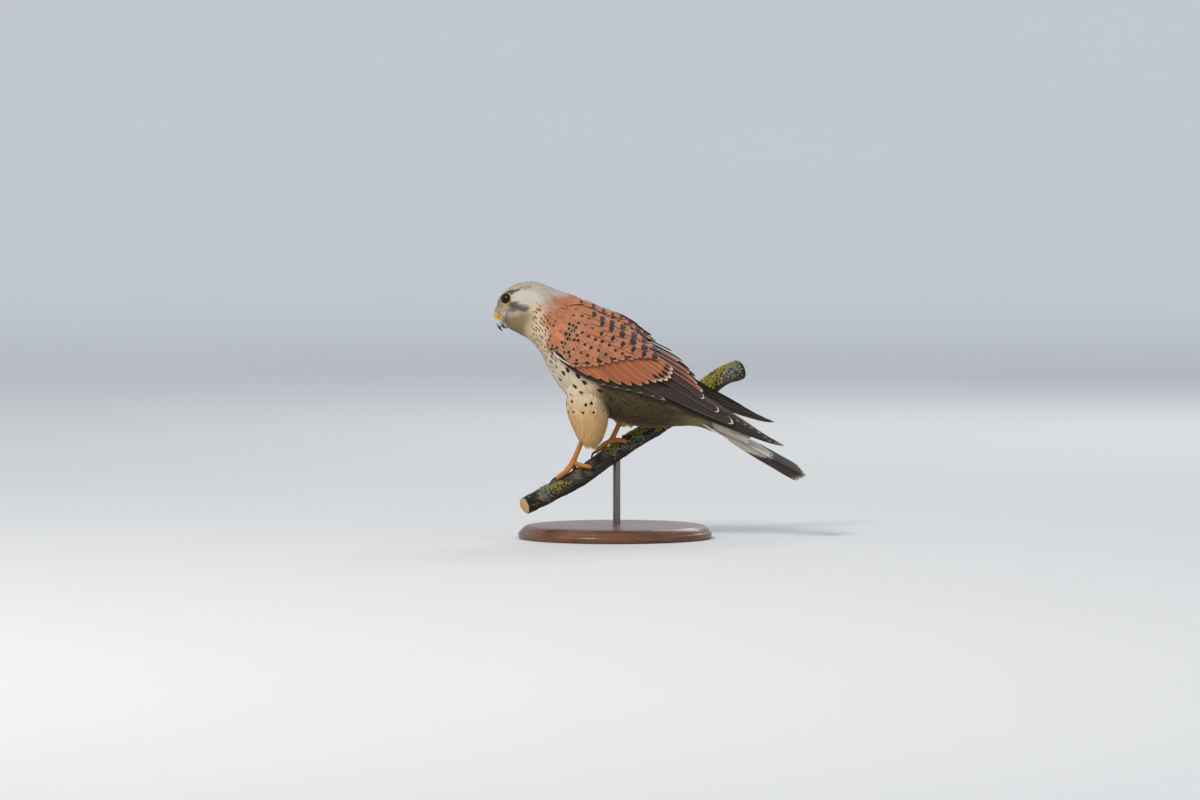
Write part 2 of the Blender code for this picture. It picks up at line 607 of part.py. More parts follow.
def make_thigh(side, rows):
    """A feathered thigh, cut clear of the trunk and open where the leg leaves it."""
    turns = np.linspace(0, 2 * np.pi, 20, endpoint=False)
    rings = []
    for place in np.linspace(0, len(rows) - 1, 11):
        x, z, long_half, wide_half = along(rows, place)
        ring = np.stack([x + long_half * np.cos(turns), THIGH_SIDE[side] + wide_half * np.sin(turns)], 1)
        rings.append(np.column_stack([ring, np.full(len(turns), z)]))
    thigh = rings_object("thigh_" + side, rings, "thigh_plumage")
    trunk = trunk_cutter(7.0)
    boolean(thigh, [trunk], "DIFFERENCE")
    return smooth(keep_largest(thigh))


def perch_frame(place):
    """The branch's centre, its direction, its upward side and its near side at a place in rows."""
    place = np.asarray(place, float)
    row = along(PERCH, place)
    ahead = unit(along(PERCH, place + 0.05)[..., :3] - along(PERCH, place - 0.05)[..., :3])
    near = unit(np.cross(ahead, np.broadcast_to([0.0, 0, 1], ahead.shape)))
    return row[..., :3], ahead, np.cross(near, ahead), near, row[..., 3:4]


def on_perch(place, angle, lift):
    """A point over the branch's bark: angle in degrees from its top towards its near side."""
    centre, _, up, near, radius = perch_frame(place)
    turn = np.radians(np.asarray(angle, float))[..., None]
    return centre + (radius + np.asarray(lift, float)[..., None]) * (up * np.cos(turn) + near * np.sin(turn))


def perch_radius_wave(angle, place):
    """The bark's low swells, as a share of the radius; flat near the feet."""
    swell = 0.05 * np.sin(3 * angle + 1.7 * place) + 0.04 * np.sin(2 * angle - 2.3 * place + 1)
    calm = np.clip((np.abs(place - 3.3) - 1.6) / 1.0, 0, 1)
    return 1 + swell * calm - 0.02 * (1 - calm)


def perch_rings(grow=0.0):
    """Rings of the branch, from one sawn end to the other."""
    angles = np.linspace(0, 2 * np.pi, PERCH_SIDES, endpoint=False)
    rings = []
    for place in np.linspace(0, len(PERCH) - 1, PERCH_RINGS):
        centre, _, up, near, radius = perch_frame(place)
        reach = radius * perch_radius_wave(angles, place)[:, None] + grow
        rings.append(centre + reach * (np.outer(np.cos(angles), up) + np.outer(np.sin(angles), near)))
    return rings


def nearest_place(point):
    """The place on the branch that lies nearest a point."""
    places = np.linspace(0, len(PERCH) - 1, 400)
    return places[np.argmin(np.linalg.norm(along(PERCH, places)[:, :3] - point, axis=1))]


def make_foot(side, joint, toes):
    """A foot: the joint and four toes that grip the branch, each with its claw as a node of its own."""
    joint = np.array(joint, float)
    start = nearest_place(joint)
    row_length = np.linalg.norm(along(PERCH, start + 0.5)[:3] - along(PERCH, start - 0.5)[:3])
    foot = ball_object("foot_" + side, joint, JOINT_RADIUS, "leg_skin", 14, 8)
    tubes, spans = [], []
    for k, (reach, angle, arch, radius) in enumerate(toes):
        share = np.array([0.4, 0.7, 1.0])
        run = start + reach / row_length * share
        lift = radius + GAP + arch * (1 - share)
        path = np.vstack([joint, on_perch(run, angle * share, lift)])
        fine = along(path, np.linspace(0, len(path) - 1, 7))
        pads = radius * np.array([1.15, 1.0, 1.08, 0.92, 1.05, 0.98, 0.72])
        tubes.append(tube_object(f"toe_{side}_{k}", fine, pads, None, 6))
        spans.append((fine, pads))
        make_claw(f"claw_{side}_{k + 1}", start, reach / row_length, angle, fine, pads)
    boolean(foot, tubes, "UNION")
    smooth(keep_largest(foot))
    return spans


def make_claw(name, start, reach, angle, toe, pads):
    """A curved claw that goes on from a toe's end, over the bark and down to it."""
    length = np.linalg.norm(np.diff(toe, axis=0), axis=1).sum()
    share = np.linspace(0, 1, 5)
    on = 0.97 + share * CLAW_LENGTH / length
    lift = pads[-1] + GAP + CLAW_ARCH * np.sin(np.pi * share**0.8) - (pads[-1] - 0.2) * share
    path = on_perch(start + reach * on, angle * on, lift)
    claw = tube_object(name, path, CLAW_RADIUS * np.sqrt(1 - 0.97 * share), "claw_horn", 5)
    end = toe[-1] + unit(toe[-1] - toe[-2]) * GAP
    boolean(claw, [tube_object("toe_cutter", np.vstack([toe[-4:-1], end]), pads[-4:] + GAP, None, 7)], "DIFFERENCE")
    return smooth(keep_largest(claw))


def make_leg(side, ankle, joint, thigh_rows, toes):
    """The bare leg between the thigh's feathers and the foot."""
    share = np.linspace(0, 1, 6)
    path = np.array(joint) + np.outer(share, np.array(ankle) - joint)
    radii = LEG_RADIUS * np.array([1.05, 0.92, 0.9, 0.95, 1.05, 1.2])
    leg = tube_object("leg_" + side, path, radii, "leg_skin", 10)
    turns = np.linspace(0, 2 * np.pi, 20, endpoint=False)
    rings = []
    for place in np.linspace(0, len(thigh_rows) - 1, 11):
        x, z, long_half, wide_half = along(thigh_rows, place)
        ring = np.stack([
            x + (long_half + GAP) * np.cos(turns), THIGH_SIDE[side] + (wide_half + GAP) * np.sin(turns)
        ], 1)
        rings.append(np.column_stack([ring, np.full(len(turns), z)]))
    rings[-1][:, 2] -= GAP
    cutters = [
        rings_object("thigh_cutter", rings, None),
        ball_object("joint_cutter", joint, JOINT_RADIUS + GAP, None, 14, 8),
    ] + [tube_object("toe_cutter", path, radii + GAP, None) for path, radii in toes]
    for cutter in cutters:
        boolean(leg, [cutter], "DIFFERENCE")
    return smooth(keep_largest(leg))


def make_stand():
    """A round wooden base and one rod up to the branch's underside."""
    mesh = bpy.data.meshes.new("stand_base")
    shape = bmesh.new()
    bmesh.ops.create_cone(
        shape, cap_ends=True, segments=40, radius1=BASE_RADIUS * MM, radius2=BASE_RADIUS * MM,
        depth=BASE_HEIGHT * MM,
    )
    shape.to_mesh(mesh)
    shape.free()
    base = bpy.data.objects.new("stand_base", mesh)
    base.location.z = BASE_HEIGHT / 2 * MM
    mesh.materials.append(MATERIALS["stand_wood"])
    bpy.context.scene.collection.objects.link(base)
    bevel = base.modifiers.new("edge", "BEVEL")
    bevel.width = BASE_EDGE * MM
    bevel.segments = 2
    bevel.limit_method = "ANGLE"
    places = np.linspace(0, len(PERCH) - 1, 400)
    place = places[np.argmin(np.abs(along(PERCH, places)[:, 0] - ROD_X))]
    centre = perch_frame(place)[0]
    path = [(centre[0], centre[1], BASE_HEIGHT + GAP), (centre[0], centre[1], 40), tuple(centre)]
    rod = tube_object("stand_rod", path, [ROD_RADIUS] * 3, "stand_metal", 16)
    bark = rings_object("bark_cutter", perch_rings(GAP), None)
    boolean(rod, [bark], "DIFFERENCE")
    smooth(keep_largest(rod))


def clear_scene():
    """Removes every object that the file starts with."""
    for obj in list(bpy.data.objects):
        bpy.data.objects.remove(obj)


def gather(name):
    """Moves all the parts into a collection named for the object."""
    collection = bpy.data.collections.new(name)
    bpy.context.scene.collection.children.link(collection)
    for obj in list(bpy.context.scene.collection.objects):
        bpy.context.scene.collection.objects.unlink(obj)
        collection.objects.link(obj)


clear_scene()
MATERIALS = make_materials()
make_head()
make_bill()
smooth(trunk_node("neck", NECK_PLACES, "head_plumage"))
smooth(trunk_node("torso", TORSO_PLACES, "breast_plumage"))
make_wing("left")
make_wing("right")
make_tail()
make_thigh("left", LEFT_THIGH)
make_thigh("right", RIGHT_THIGH)
left_toes = make_foot("left", LEFT_JOINT, LEFT_TOES)
right_toes = make_foot("right", RIGHT_JOINT, RIGHT_TOES)
make_leg("left", LEFT_ANKLE, LEFT_JOINT, LEFT_THIGH, left_toes)
make_leg("right", RIGHT_ANKLE, RIGHT_JOINT, RIGHT_THIGH, right_toes)
smooth(rings_object("perch", perch_rings(), "bark"))
make_stand()
gather("kestrel")
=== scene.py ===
"""The finish of a life-size male kestrel on a cut branch: plumage, bill, eyes, feet, bark, lichen and stand.

Lengths are in millimetres and are multiplied by MM where a mesh is made. X runs from the bill to the tail,
+Y is the bird's right side and Z is up. The plumage is many thin closed vanes: each is a grid of points that
follows the surface it grows from, and carries its own colour, spot and fringe as attributes of its points.
"""

import math

import bmesh
import bpy
import numpy as np
from mathutils import Matrix, Vector


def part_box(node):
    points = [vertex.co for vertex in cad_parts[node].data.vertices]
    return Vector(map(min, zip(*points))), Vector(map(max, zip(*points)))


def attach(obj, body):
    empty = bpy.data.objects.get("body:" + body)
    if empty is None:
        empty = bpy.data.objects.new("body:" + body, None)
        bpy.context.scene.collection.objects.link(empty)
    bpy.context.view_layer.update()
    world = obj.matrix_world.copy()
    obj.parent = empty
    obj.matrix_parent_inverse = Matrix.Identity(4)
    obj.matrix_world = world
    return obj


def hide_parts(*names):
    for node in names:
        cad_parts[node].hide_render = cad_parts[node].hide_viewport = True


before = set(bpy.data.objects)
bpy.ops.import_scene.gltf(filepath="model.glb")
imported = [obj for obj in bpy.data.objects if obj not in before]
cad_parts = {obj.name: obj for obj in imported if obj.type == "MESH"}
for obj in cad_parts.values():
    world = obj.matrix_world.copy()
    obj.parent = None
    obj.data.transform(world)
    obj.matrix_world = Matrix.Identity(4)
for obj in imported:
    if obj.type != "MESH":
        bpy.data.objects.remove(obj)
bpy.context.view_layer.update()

bl_info = {
    "name": "Kestrel on a branch",
    "version": (1, 0, 0),
    "blender": (4, 5, 0),
    "location": "3D View > Sidebar > Kestrel",
    "description": "Plumage, bill, eyes, feet, bark and stand of a life-size kestrel",
    "category": "Object",
}

MM = 0.001

# The trunk: back x, z, belly x, z, level of the widest place, half width, twist and peak of each section.
BODY = [
    (-110.5, 213.0, -99.0, 195.5, 0.50, 6.0, -8, 0.94),
    (-108.3, 222.4, -95.8, 193.6, 0.44, 10.8, -8, 0.94),
    (-103.2, 228.9, -90.2, 190.8, 0.40, 14.6, -8, 0.94),
    (-95.8, 234.5, -84.6, 187.6, 0.38, 16.4, -8, 0.94),
    (-85.6, 238.2, -79.0, 184.3, 0.38, 17.2, -7, 0.94),
    (-73.5, 238.4, -73.5, 178.7, 0.40, 18.0, -5, 0.94),
    (-62.3, 234.5, -67.9, 170.3, 0.44, 21.0, -3, 0.95),
    (-50.2, 229.4, -62.3, 159.2, 0.48, 25.5, -1, 1.00),
    (-33.5, 223.6, -53.9, 144.3, 0.52, 29.5, 0, 1.12),
    (-12.1, 209.5, -40.0, 129.4, 0.55, 31.5, 0, 1.25),
    (11.2, 194.0, -21.4, 118.3, 0.56, 32.0, 0, 1.32),
    (32.6, 175.5, -0.9, 110.4, 0.55, 30.5, 0, 1.32),
    (49.3, 159.5, 20.5, 104.4, 0.52, 26.5, 0, 1.25),
    (64.2, 146.9, 40.0, 102.9, 0.50, 21.5, 0, 1.12),
    (79.0, 136.0, 58.6, 104.5, 0.50, 17.5, 0, 1.00),
    (91.0, 126.0, 76.8, 104.2, 0.50, 14.0, 0, 0.94),
    (103.0, 115.5, 93.0, 98.5, 0.50, 12.0, 0, 0.94),
    (113.5, 103.0, 109.0, 92.5, 0.50, 9.5, 0, 0.94),
]
BODY_LAST = len(BODY) - 1
ROUNDNESS = 0.94

# A short step along a surface's parameters, and how many sines a smooth field is made of.
STEP, RIPPLES, GRAIN_WAVES = 0.02, 7, 9
# A full turn in radians, as the random angles are drawn.
FULL_TURN = 6.283
# How far the skin lies under the feathers of the trunk and of the thighs, and the thickness of the vanes.
SKIN_DEPTH, THIGH_SKIN_DEPTH = 1.3, 1.6
COAT_THICK, LESSER_THICK, WING_THICK, TAIL_THICK = 0.09, 0.12, 0.16, 0.18
# The depth of all bump in m.
BUMP_DEPTH = 0.0003
FLOOR_AROUND, BRISTLES, LICHEN_TRIES = 96, 1500, 5200

# The bill: top x, top z, bottom x, bottom z and half width of each section, from its root to its tip.
UPPER_BILL = [
    (-110.9, 213.4, -101.8, 201.4, 5.5),
    (-112.2, 208.9, -103.4, 200.2, 4.9),
    (-111.9, 204.3, -104.3, 198.8, 4.1),
    (-110.7, 199.6, -105.1, 197.2, 3.0),
    (-108.6, 195.6, -105.9, 195.2, 1.9),
    (-105.2, 192.3, -104.5, 192.9, 0.5),
]
LOWER_BILL = [
    (-101.2, 201.8, -98.0, 195.6, 4.7),
    (-103.5, 199.6, -100.8, 194.9, 3.9),
    (-105.2, 197.4, -103.9, 195.2, 2.0),
]
CERE_END, NOSTRIL_PLACE, NOSTRIL_TURN, NOSTRIL_RADIUS = 1.40, 0.72, 1.5, 0.8

# The eyeball's radius, its opening's, and the opening's place on the trunk: row and angle from the back line.
EYE_RADIUS, EYE_OPENING = 6.2, 4.7
EYE_ROW, EYE_TURN = 2.0, 60.0

# The left wing's upper and lower edge from the shoulder to the tip, and how far it bulges between them.
WING_UPPER = [
    (-57.7, -13, 213.0), (-32.6, -9, 219.5), (-9.3, -6, 209.0), (14.0, -4.5, 196.2), (37.2, -4.5, 178.0),
    (60.5, -5, 162.0), (79.0, -6.5, 144.3), (102.3, -8, 126.5), (130.2, -10, 106.5), (158.0, -12, 85.7),
]
WING_LOWER = [
    (-65.0, -25, 189.0), (-54.9, -31, 171.3), (-32.6, -36, 156.4), (-4.7, -36, 144.8), (27.9, -34, 133.5),
    (55.8, -29, 120.5), (79.0, -25, 110.5), (102.3, -21, 102.5), (130.2, -17, 92.3), (158.0, -13, 82.5),
]
WING_BULGE = [8, 12.5, 14, 14, 12.5, 10.5, 8, 5.5, 3.5, 1.5]
WING_LAST = len(WING_UPPER) - 1
# The right wing: lift and spread in degrees, share of the left one's length, and the point it turns on.
RIGHT_WING_LIFT, RIGHT_WING_SPREAD, RIGHT_WING_FOLD = 3.6, 0.5, 0.925
SHOULDER = (-50.0, 12.0, 200.0)

# The tail: drop, roll and fan in degrees, and the step in length and in height from pair to pair.
TAIL_ROOT = (95.5, 0.0, 102.8)
TAIL_DROP, TAIL_ROLL = 28.6, 22.0
TAIL_LENGTH, TAIL_STEP, TAIL_PAIRS = 92.5, 1.4, 6
TAIL_FAN, TAIL_LAYER = 1.3, 0.55
# The outermost pair starts beside the trunk, before the tail's root, and draws in over this length.
OUTER_START, OUTER_MERGE = -22.0, 48.0

# Thighs: x, z, half length and half width of each section from the top down.
LEFT_THIGH = [
    (-22.0, 148.0, 14.0, 7.0), (-25.0, 134.5, 19.0, 12.0), (-25.4, 122.5, 19.4, 14.6),
    (-24.8, 112.5, 17.6, 14.2), (-24.4, 103.3, 14.4, 12.2), (-24.0, 95.5, 11.2, 9.8),
    (-23.6, 90.4, 8.2, 7.4), (-23.4, 87.3, 5.0, 4.8),
]
RIGHT_THIGH = [
    (2.0, 150.0, 16.0, 9.0), (4.5, 137.0, 20.0, 14.0), (7.0, 125.0, 18.5, 15.0),
    (9.0, 115.0, 14.5, 12.5), (9.6, 108.5, 10.0, 9.5), (9.2, 104.5, 6.0, 6.0),
]
THIGH_SIDE = {"left": -18.0, "right": 20.0}
THIGHS = {"left": LEFT_THIGH, "right": RIGHT_THIGH}
LEG_RADIUS, JOINT_RADIUS = 2.5, 3.1
# Legs: the upper end of the bare part and the joint with the toes.
LEGS = {
    "left": ((-24.5, -17.0, 106.0), (-39.1, -13.5, 71.2)),
    "right": ((12.5, 16.0, 124.0), (-3.4, 11.8, 90.0)),
}
# The branch: x, y, z and radius, from its near end up to its far one.
PERCH = [
    (-83.7, -45.6, 32.7, 7.6), (-63.2, -31.2, 42.0, 8.0), (-41.9, -16.3, 52.2, 8.6), (-27.9, -6.5, 60.1, 8.7),
    (-14.0, 3.3, 69.9, 8.5), (4.7, 16.3, 81.6, 8.3), (23.2, 29.3, 92.8, 8.3), (51.2, 48.8, 110.8, 8.4),
    (79.0, 68.4, 131.0, 8.5), (99.5, 82.7, 145.2, 8.8), (118.1, 95.7, 153.6, 9.2),
]
PERCH_LAST = len(PERCH) - 1
# The rows that the feet stand on and how far the bark is calm to both sides; the round rod that the bark's
# fields are read on: its radius and the length of a row.
FEET_PLACE, CALM_REACH = 3.3, 1.6
ROD_RADIUS, ROD_ROW = 8.5, 25.0
# Toes: how far the end lies along the branch from the joint, its angle round it, the arch and the radius.
TOES = {
    "left": [(-21.5, 12, 2.5, 2.1), (-13.0, -82, 2.0, 2.2), (7.0, -78, 2.0, 2.1), (10.5, 62, 1.0, 2.1)],
    "right": [(-17.0, -40, 2.0, 2.1), (-9.0, -98, 2.0, 2.2), (8.0, -80, 2.0, 2.1), (9.0, 58, 1.0, 2.1)],
}
TOE_GAP = 0.35
CLAW_LENGTH, CLAW_RADIUS, CLAW_ARCH = 9.0, 1.35, 1.6

# The camera's aim and distance in millimetres; at that distance the frame is as wide as the photo's view.
CAMERA_AIM, CAMERA_DISTANCE, CAMERA_HEIGHT = (-13.95, 0.0, 128.5), 6000.0, 2.5
VIEW_WIDTH, SENSOR = 1116.0, 36.0


def tone(red, green, blue):
    """A screen colour of 0 to 255 as linear light."""
    share = np.array([red, green, blue]) / 255
    light = np.where(share <= 0.04045, share / 12.92, ((share + 0.055) / 1.055) ** 2.4)
    return tuple(float(v) for v in light)


def colour_setting(name, description, default):
    """A colour that a user can change."""
    return bpy.props.FloatVectorProperty(
        name=name, description=description, default=tone(*default), subtype="COLOR", min=0.0, max=1.0
    )


class PlumageSettings(bpy.types.PropertyGroup):
    """Colours of the plumage and the size of its feathers."""

    crown: colour_setting("Crown", "Crown and nape", (170, 160, 148))
    forehead: colour_setting("Forehead", "Front of the crown", (178, 166, 130))
    cheek: colour_setting("Cheek", "Pale cheek behind the eye", (196, 190, 180))
    mask: colour_setting("Mask", "Dark moustache and the line over the eye", (70, 58, 52))
    throat: colour_setting("Throat", "Unstreaked throat", (140, 120, 82))
    breast: colour_setting("Breast", "Breast between its streaks", (210, 196, 170))
    # The belly's colour is a buff darkened well below its own tone: painted shade of the wing over the belly
    # and flanks.
    belly: colour_setting("Belly", "Belly and flanks", (72, 56, 31))
    cere: colour_setting("Lore", "Bare skin between the eye and the bill", (206, 160, 66))
    # The vent's colour is the buff of the feathers under the tail, darkened in part as painted shade.
    vent: colour_setting("Vent", "Feathers under the tail", (128, 112, 70))
    thigh: colour_setting("Thigh", "Feathers of the thigh", (206, 166, 108))
    back: colour_setting("Back", "Mantle, shoulder and wing coverts", (172, 108, 74))
    covert_shade: bpy.props.FloatVectorProperty(
        name="Covert shade", description="Deeper tone of the large coverts, as a share of the back's colour",
        default=(0.86, 0.62, 0.42), min=0.0, max=1.0,
    )
    flight: colour_setting("Flight", "Flight feathers", (52, 42, 36))
    rump: colour_setting("Rump", "Rump and the coverts of the tail", (122, 120, 116))
    tail: colour_setting("Tail", "Tail feathers before their dark band", (184, 175, 163))
    spot: colour_setting("Spots", "Spots, streaks and the tail's band", (42, 30, 28))
    fringe: colour_setting("Fringes", "Pale fringes and tips", (228, 214, 188))
    head_spacing: bpy.props.FloatProperty(
        name="Face feathers", description="Distance between feathers on the face, in mm", default=1.0, min=0.8
    )
    body_spacing: bpy.props.FloatProperty(
        name="Body feathers", description="Distance between feathers on the body, in mm", default=2.3, min=1.8
    )


class PartSettings(bpy.types.PropertyGroup):
    """Colours and sizes of the bare parts, the branch and the stand."""

    horn: colour_setting("Bill root", "Horn next to the cere", (186, 190, 196))
    horn_tip: colour_setting("Bill tip", "Horn at the tip", (38, 42, 52))
    cere: colour_setting("Cere", "Cere and eye ring", (196, 152, 56))
    iris: colour_setting("Iris", "Iris round the pupil", (34, 19, 11))
    leg: colour_setting("Legs", "Skin of the legs and toes", (176, 112, 42))
    claw: colour_setting("Claws", "Claws", (24, 22, 22))
    bark: colour_setting("Bark", "Bark of the branch", (58, 50, 42))
    crust: colour_setting("Grey lichen", "Grey lichen on the branch", (150, 150, 132))
    lichen: colour_setting("Lichen", "Yellow lichen on the branch", (170, 160, 60))
    wood: colour_setting("Base", "Wood of the base", (112, 66, 38))
    metal: colour_setting("Rod", "Metal of the rod", (120, 118, 114))
    bark_depth: bpy.props.FloatProperty(
        name="Bark relief", description="Height of the bark's ridges, in mm", default=0.9, min=0.0, max=1.5
    )


def along(rows, place):
    """A smooth curve through evenly spaced rows (Catmull-Rom), read at places counted in rows from 0."""
    rows = np.asarray(rows, float).reshape(len(rows), -1)
    place = np.clip(np.asarray(place, float), 0, len(rows) - 1)
    start = np.minimum(place.astype(int), len(rows) - 2)
    share = (place - start)[..., None]
    padded = np.vstack([2 * rows[0] - rows[1], rows, 2 * rows[-1] - rows[-2]])
    a, b, c, d = (padded[start + k] for k in range(4))
    cubic = 2 * a - 5 * b + 4 * c - d + share * (3 * (b - c) + d - a)
    return b + 0.5 * share * (c - a + share * cubic)


def unit(v):
    """Vectors scaled to length 1."""
    return v / np.maximum(np.linalg.norm(v, axis=-1, keepdims=True), 1e-9)


def power(value, exponent):
    """A signed power, which squares off a circle a little."""
    return np.sign(value) * np.abs(value) ** exponent


def step_up(value, low, high):
    """0 below low, 1 above high and a smooth rise between them; low may be above high."""
    share = np.clip((value - low) / (high - low), 0, 1)
    return share * share * (3 - 2 * share)


def mixed(first, second, share):
    """Colours mixed by a share for each point."""
    first, second = np.asarray(first, float), np.asarray(second, float)
    return first + (second - first) * np.asarray(share)[..., None]


def ripple(a, b, seed):
    """A smooth field of two parameters, about -1 to 1: the mean of sines of seeded angle, rate and phase."""
    rng = np.random.default_rng(seed)
    total = 0.0
    for _ in range(RIPPLES):
        angle, rate, phase = rng.uniform(0, FULL_TURN), rng.uniform(1.0, 4.0), rng.uniform(0, FULL_TURN)
        total = total + np.sin(rate * (a * math.cos(angle) + b * math.sin(angle)) + phase)
    return total / math.sqrt(RIPPLES)


def section_point(back, belly, level, width, twist, turn, peak=ROUNDNESS):
    """A point of an oval section at the angle turn from its back line; a positive turn is the bird's left."""
    middle = back + (belly - back) * level
    over = np.cos(turn)[..., None] >= 0
    exponent = np.where(over, peak, ROUNDNESS)
    upright = np.where(over, back - middle, middle - belly) * power(np.cos(turn)[..., None], exponent)
    side = -width * power(np.sin(turn)[..., None], exponent)
    spin = np.radians(twist)
    tall = unit(back - belly)
    height = (upright * tall).sum(-1, keepdims=True)
    flat = middle + tall * (height * np.cos(spin) + side * np.sin(spin))
    sideways = side * np.cos(spin) - height * np.sin(spin)
    return np.concatenate([flat[..., :1], sideways, flat[..., 1:]], axis=-1)


def face_relief(place, turn):
    """How far the face stands proud of the plain loft: a ridge over each eye and a hollow before it."""
    degrees = np.abs(np.degrees(turn))
    ridge = np.exp(-(((degrees - 31) / 8) ** 2)) * step_up(place, 0.6, 1.5) * step_up(place, 4.0, 2.8)
    lore = np.exp(-(((degrees - 66) / 16) ** 2) - ((place - 0.75) / 0.45) ** 2)
    return 0.9 * ridge - 0.7 * lore


def trunk(place, turn, grow=0.0):
    """A point on the trunk, place counted in rows of BODY: an oval between the back and the belly line."""
    place, turn = np.broadcast_arrays(np.asarray(place, float), np.asarray(turn, float))
    turn = (turn + math.pi) % (2 * math.pi) - math.pi
    row = along(BODY, place)
    beyond = np.maximum(place - BODY_LAST, 0)[..., None] * np.array([14.0, -7.0])
    back, belly = row[..., 0:2] + beyond, row[..., 2:4] + beyond
    swell = np.asarray(grow + face_relief(place, turn))[..., None]
    tall = unit(back - belly) * swell
    level, width, twist, peak = (row[..., k : k + 1] for k in (4, 5, 6, 7))
    return section_point(back + tall, belly - tall, level, width + swell, twist, turn, peak)


def wing_surface(right):
    """The folded wing's outer face: ruled between its upper and lower edge, and bulging out between them."""

    def surface(place, across):
        place, across = np.broadcast_arrays(np.asarray(place, float), np.asarray(across, float))
        place = np.clip(place, 0, WING_LAST - 0.001)
        upper, lower = along(WING_UPPER, place), along(WING_LOWER, place)
        chord = lower - upper
        run = along(WING_UPPER, place + STEP) + along(WING_LOWER, place + STEP) - upper - lower
        run = np.where(place[..., None] > WING_LAST - STEP, np.array([0.80, 0.0, -0.60]), run)
        out = unit(np.cross(chord, run))
        out = out * np.where(out[..., 1:2] > 0, -1, 1)
        bulge = out * along(WING_BULGE, place) * np.sin(np.pi * across)[..., None]
        points = upper + chord * across[..., None] + bulge
        return mirrored(points) if right else points

    return surface


def mirrored(points):
    """The right wing is the left one mirrored, folded closer, and lifted and spread at the shoulder."""
    points = (points * [1, -1, 1] - SHOULDER) * [RIGHT_WING_FOLD, 1, RIGHT_WING_FOLD]
    turn = Matrix.Rotation(math.radians(RIGHT_WING_SPREAD), 3, "Z")
    turn = turn @ Matrix.Rotation(math.radians(-RIGHT_WING_LIFT), 3, "Y")
    return points @ np.array(turn).T + SHOULDER


def thigh_surface(side):
    """A thigh: level ovals from the top down, the angle counted from its rear edge."""
    rows, middle = THIGHS[side], THIGH_SIDE[side]

    def surface(place, turn, grow=0.0):
        place, turn = np.broadcast_arrays(np.asarray(place, float), np.asarray(turn, float))
        row, over = along(rows, place), np.maximum(place - len(rows) + 1, 0)
        row[..., 1] -= 4.5 * over
        row[..., 2:4] *= np.clip(1 - 0.3 * over, 0.4, 1)[..., None]
        x = row[..., 0] + (row[..., 2] + grow) * np.cos(turn)
        return np.stack([x, middle + (row[..., 3] + grow) * np.sin(turn), row[..., 1]], axis=-1)

    return surface


def surface_normal(surface, a, b, outward=1.0, last=None):
    """The outward direction of a surface of two parameters, from short steps along both."""
    a = np.clip(a, STEP, last - STEP) if last else a
    ahead = surface(a + STEP, b) - surface(a - STEP, b)
    round_it = surface(a, b + STEP) - surface(a, b - STEP)
    return unit(np.cross(round_it, ahead)) * outward


def circle(count):
    """A full turn in equal steps."""
    return np.linspace(0, 2 * np.pi, count, endpoint=False)


def rings(rows, around):
    """Two grids of parameters: the rows given, and at each of them a full turn."""
    return np.broadcast_arrays(rows[:, None], circle(around)[None])


def ball(margin, rows, around):
    """Directions all round, by the angle from one pole, with a margin at both, and the angle round it."""
    a, b = rings(np.linspace(margin, np.pi - margin, rows), around)
    return np.stack([np.sin(a) * np.cos(b), np.sin(a) * np.sin(b), np.cos(a)], axis=-1)


def facing_out(points, *faces):
    """Faces as they are, or all reversed where the volume inside them comes out negative."""
    tris = np.concatenate([part[:, [0, k, k + 1]] for part in faces for k in range(1, part.shape[1] - 1)])
    a, b, c = (points[tris[:, k]] for k in range(3))
    turned = np.einsum("ij,ij->i", a, np.cross(b, c)).sum() < 0
    return [part[:, ::-1] if turned else part for part in faces]


def link_object(name, mesh, material):
    """Adds a mesh to the scene as a piece of a named material that rides on the model's one body."""
    mesh.materials.append(bpy.data.materials[material])
    piece = bpy.data.objects.new(name, mesh)
    bpy.context.scene.collection.objects.link(piece)
    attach(piece, "root")
    return piece


def mesh_object(name, points, faces, material, colours, maps=None, sharp=None):
    """A piece from arrays: points in mm, index arrays of triangles or quads, colours by point and UV maps."""
    corners = np.concatenate([part.ravel() for part in faces]).astype(np.int32)
    sizes = np.concatenate([np.full(len(part), part.shape[1]) for part in faces])
    mesh = bpy.data.meshes.new(name)
    mesh.vertices.add(len(points))
    mesh.vertices.foreach_set("co", (points * MM).astype(np.float32).ravel())
    mesh.loops.add(len(corners))
    mesh.loops.foreach_set("vertex_index", corners)
    mesh.polygons.add(len(sizes))
    mesh.polygons.foreach_set("loop_start", (np.cumsum(sizes) - sizes).astype(np.int32))
    mesh.update(calc_edges=True)
    for title, values in (maps or {}).items():
        layer = mesh.uv_layers.new(name=title)
        layer.data.foreach_set("uv", values[corners].astype(np.float32).ravel())
    for title, values in colours.items():
        full = np.ones((len(points), 4), np.float32)
        full[:, :3] = values
        mesh.attributes.new(title, "FLOAT_COLOR", "POINT").data.foreach_set("color", full.ravel())
    mesh.shade_smooth()
    if sharp:
        mesh.set_sharp_from_angle(angle=math.radians(sharp))
    return link_object(name, mesh, material)


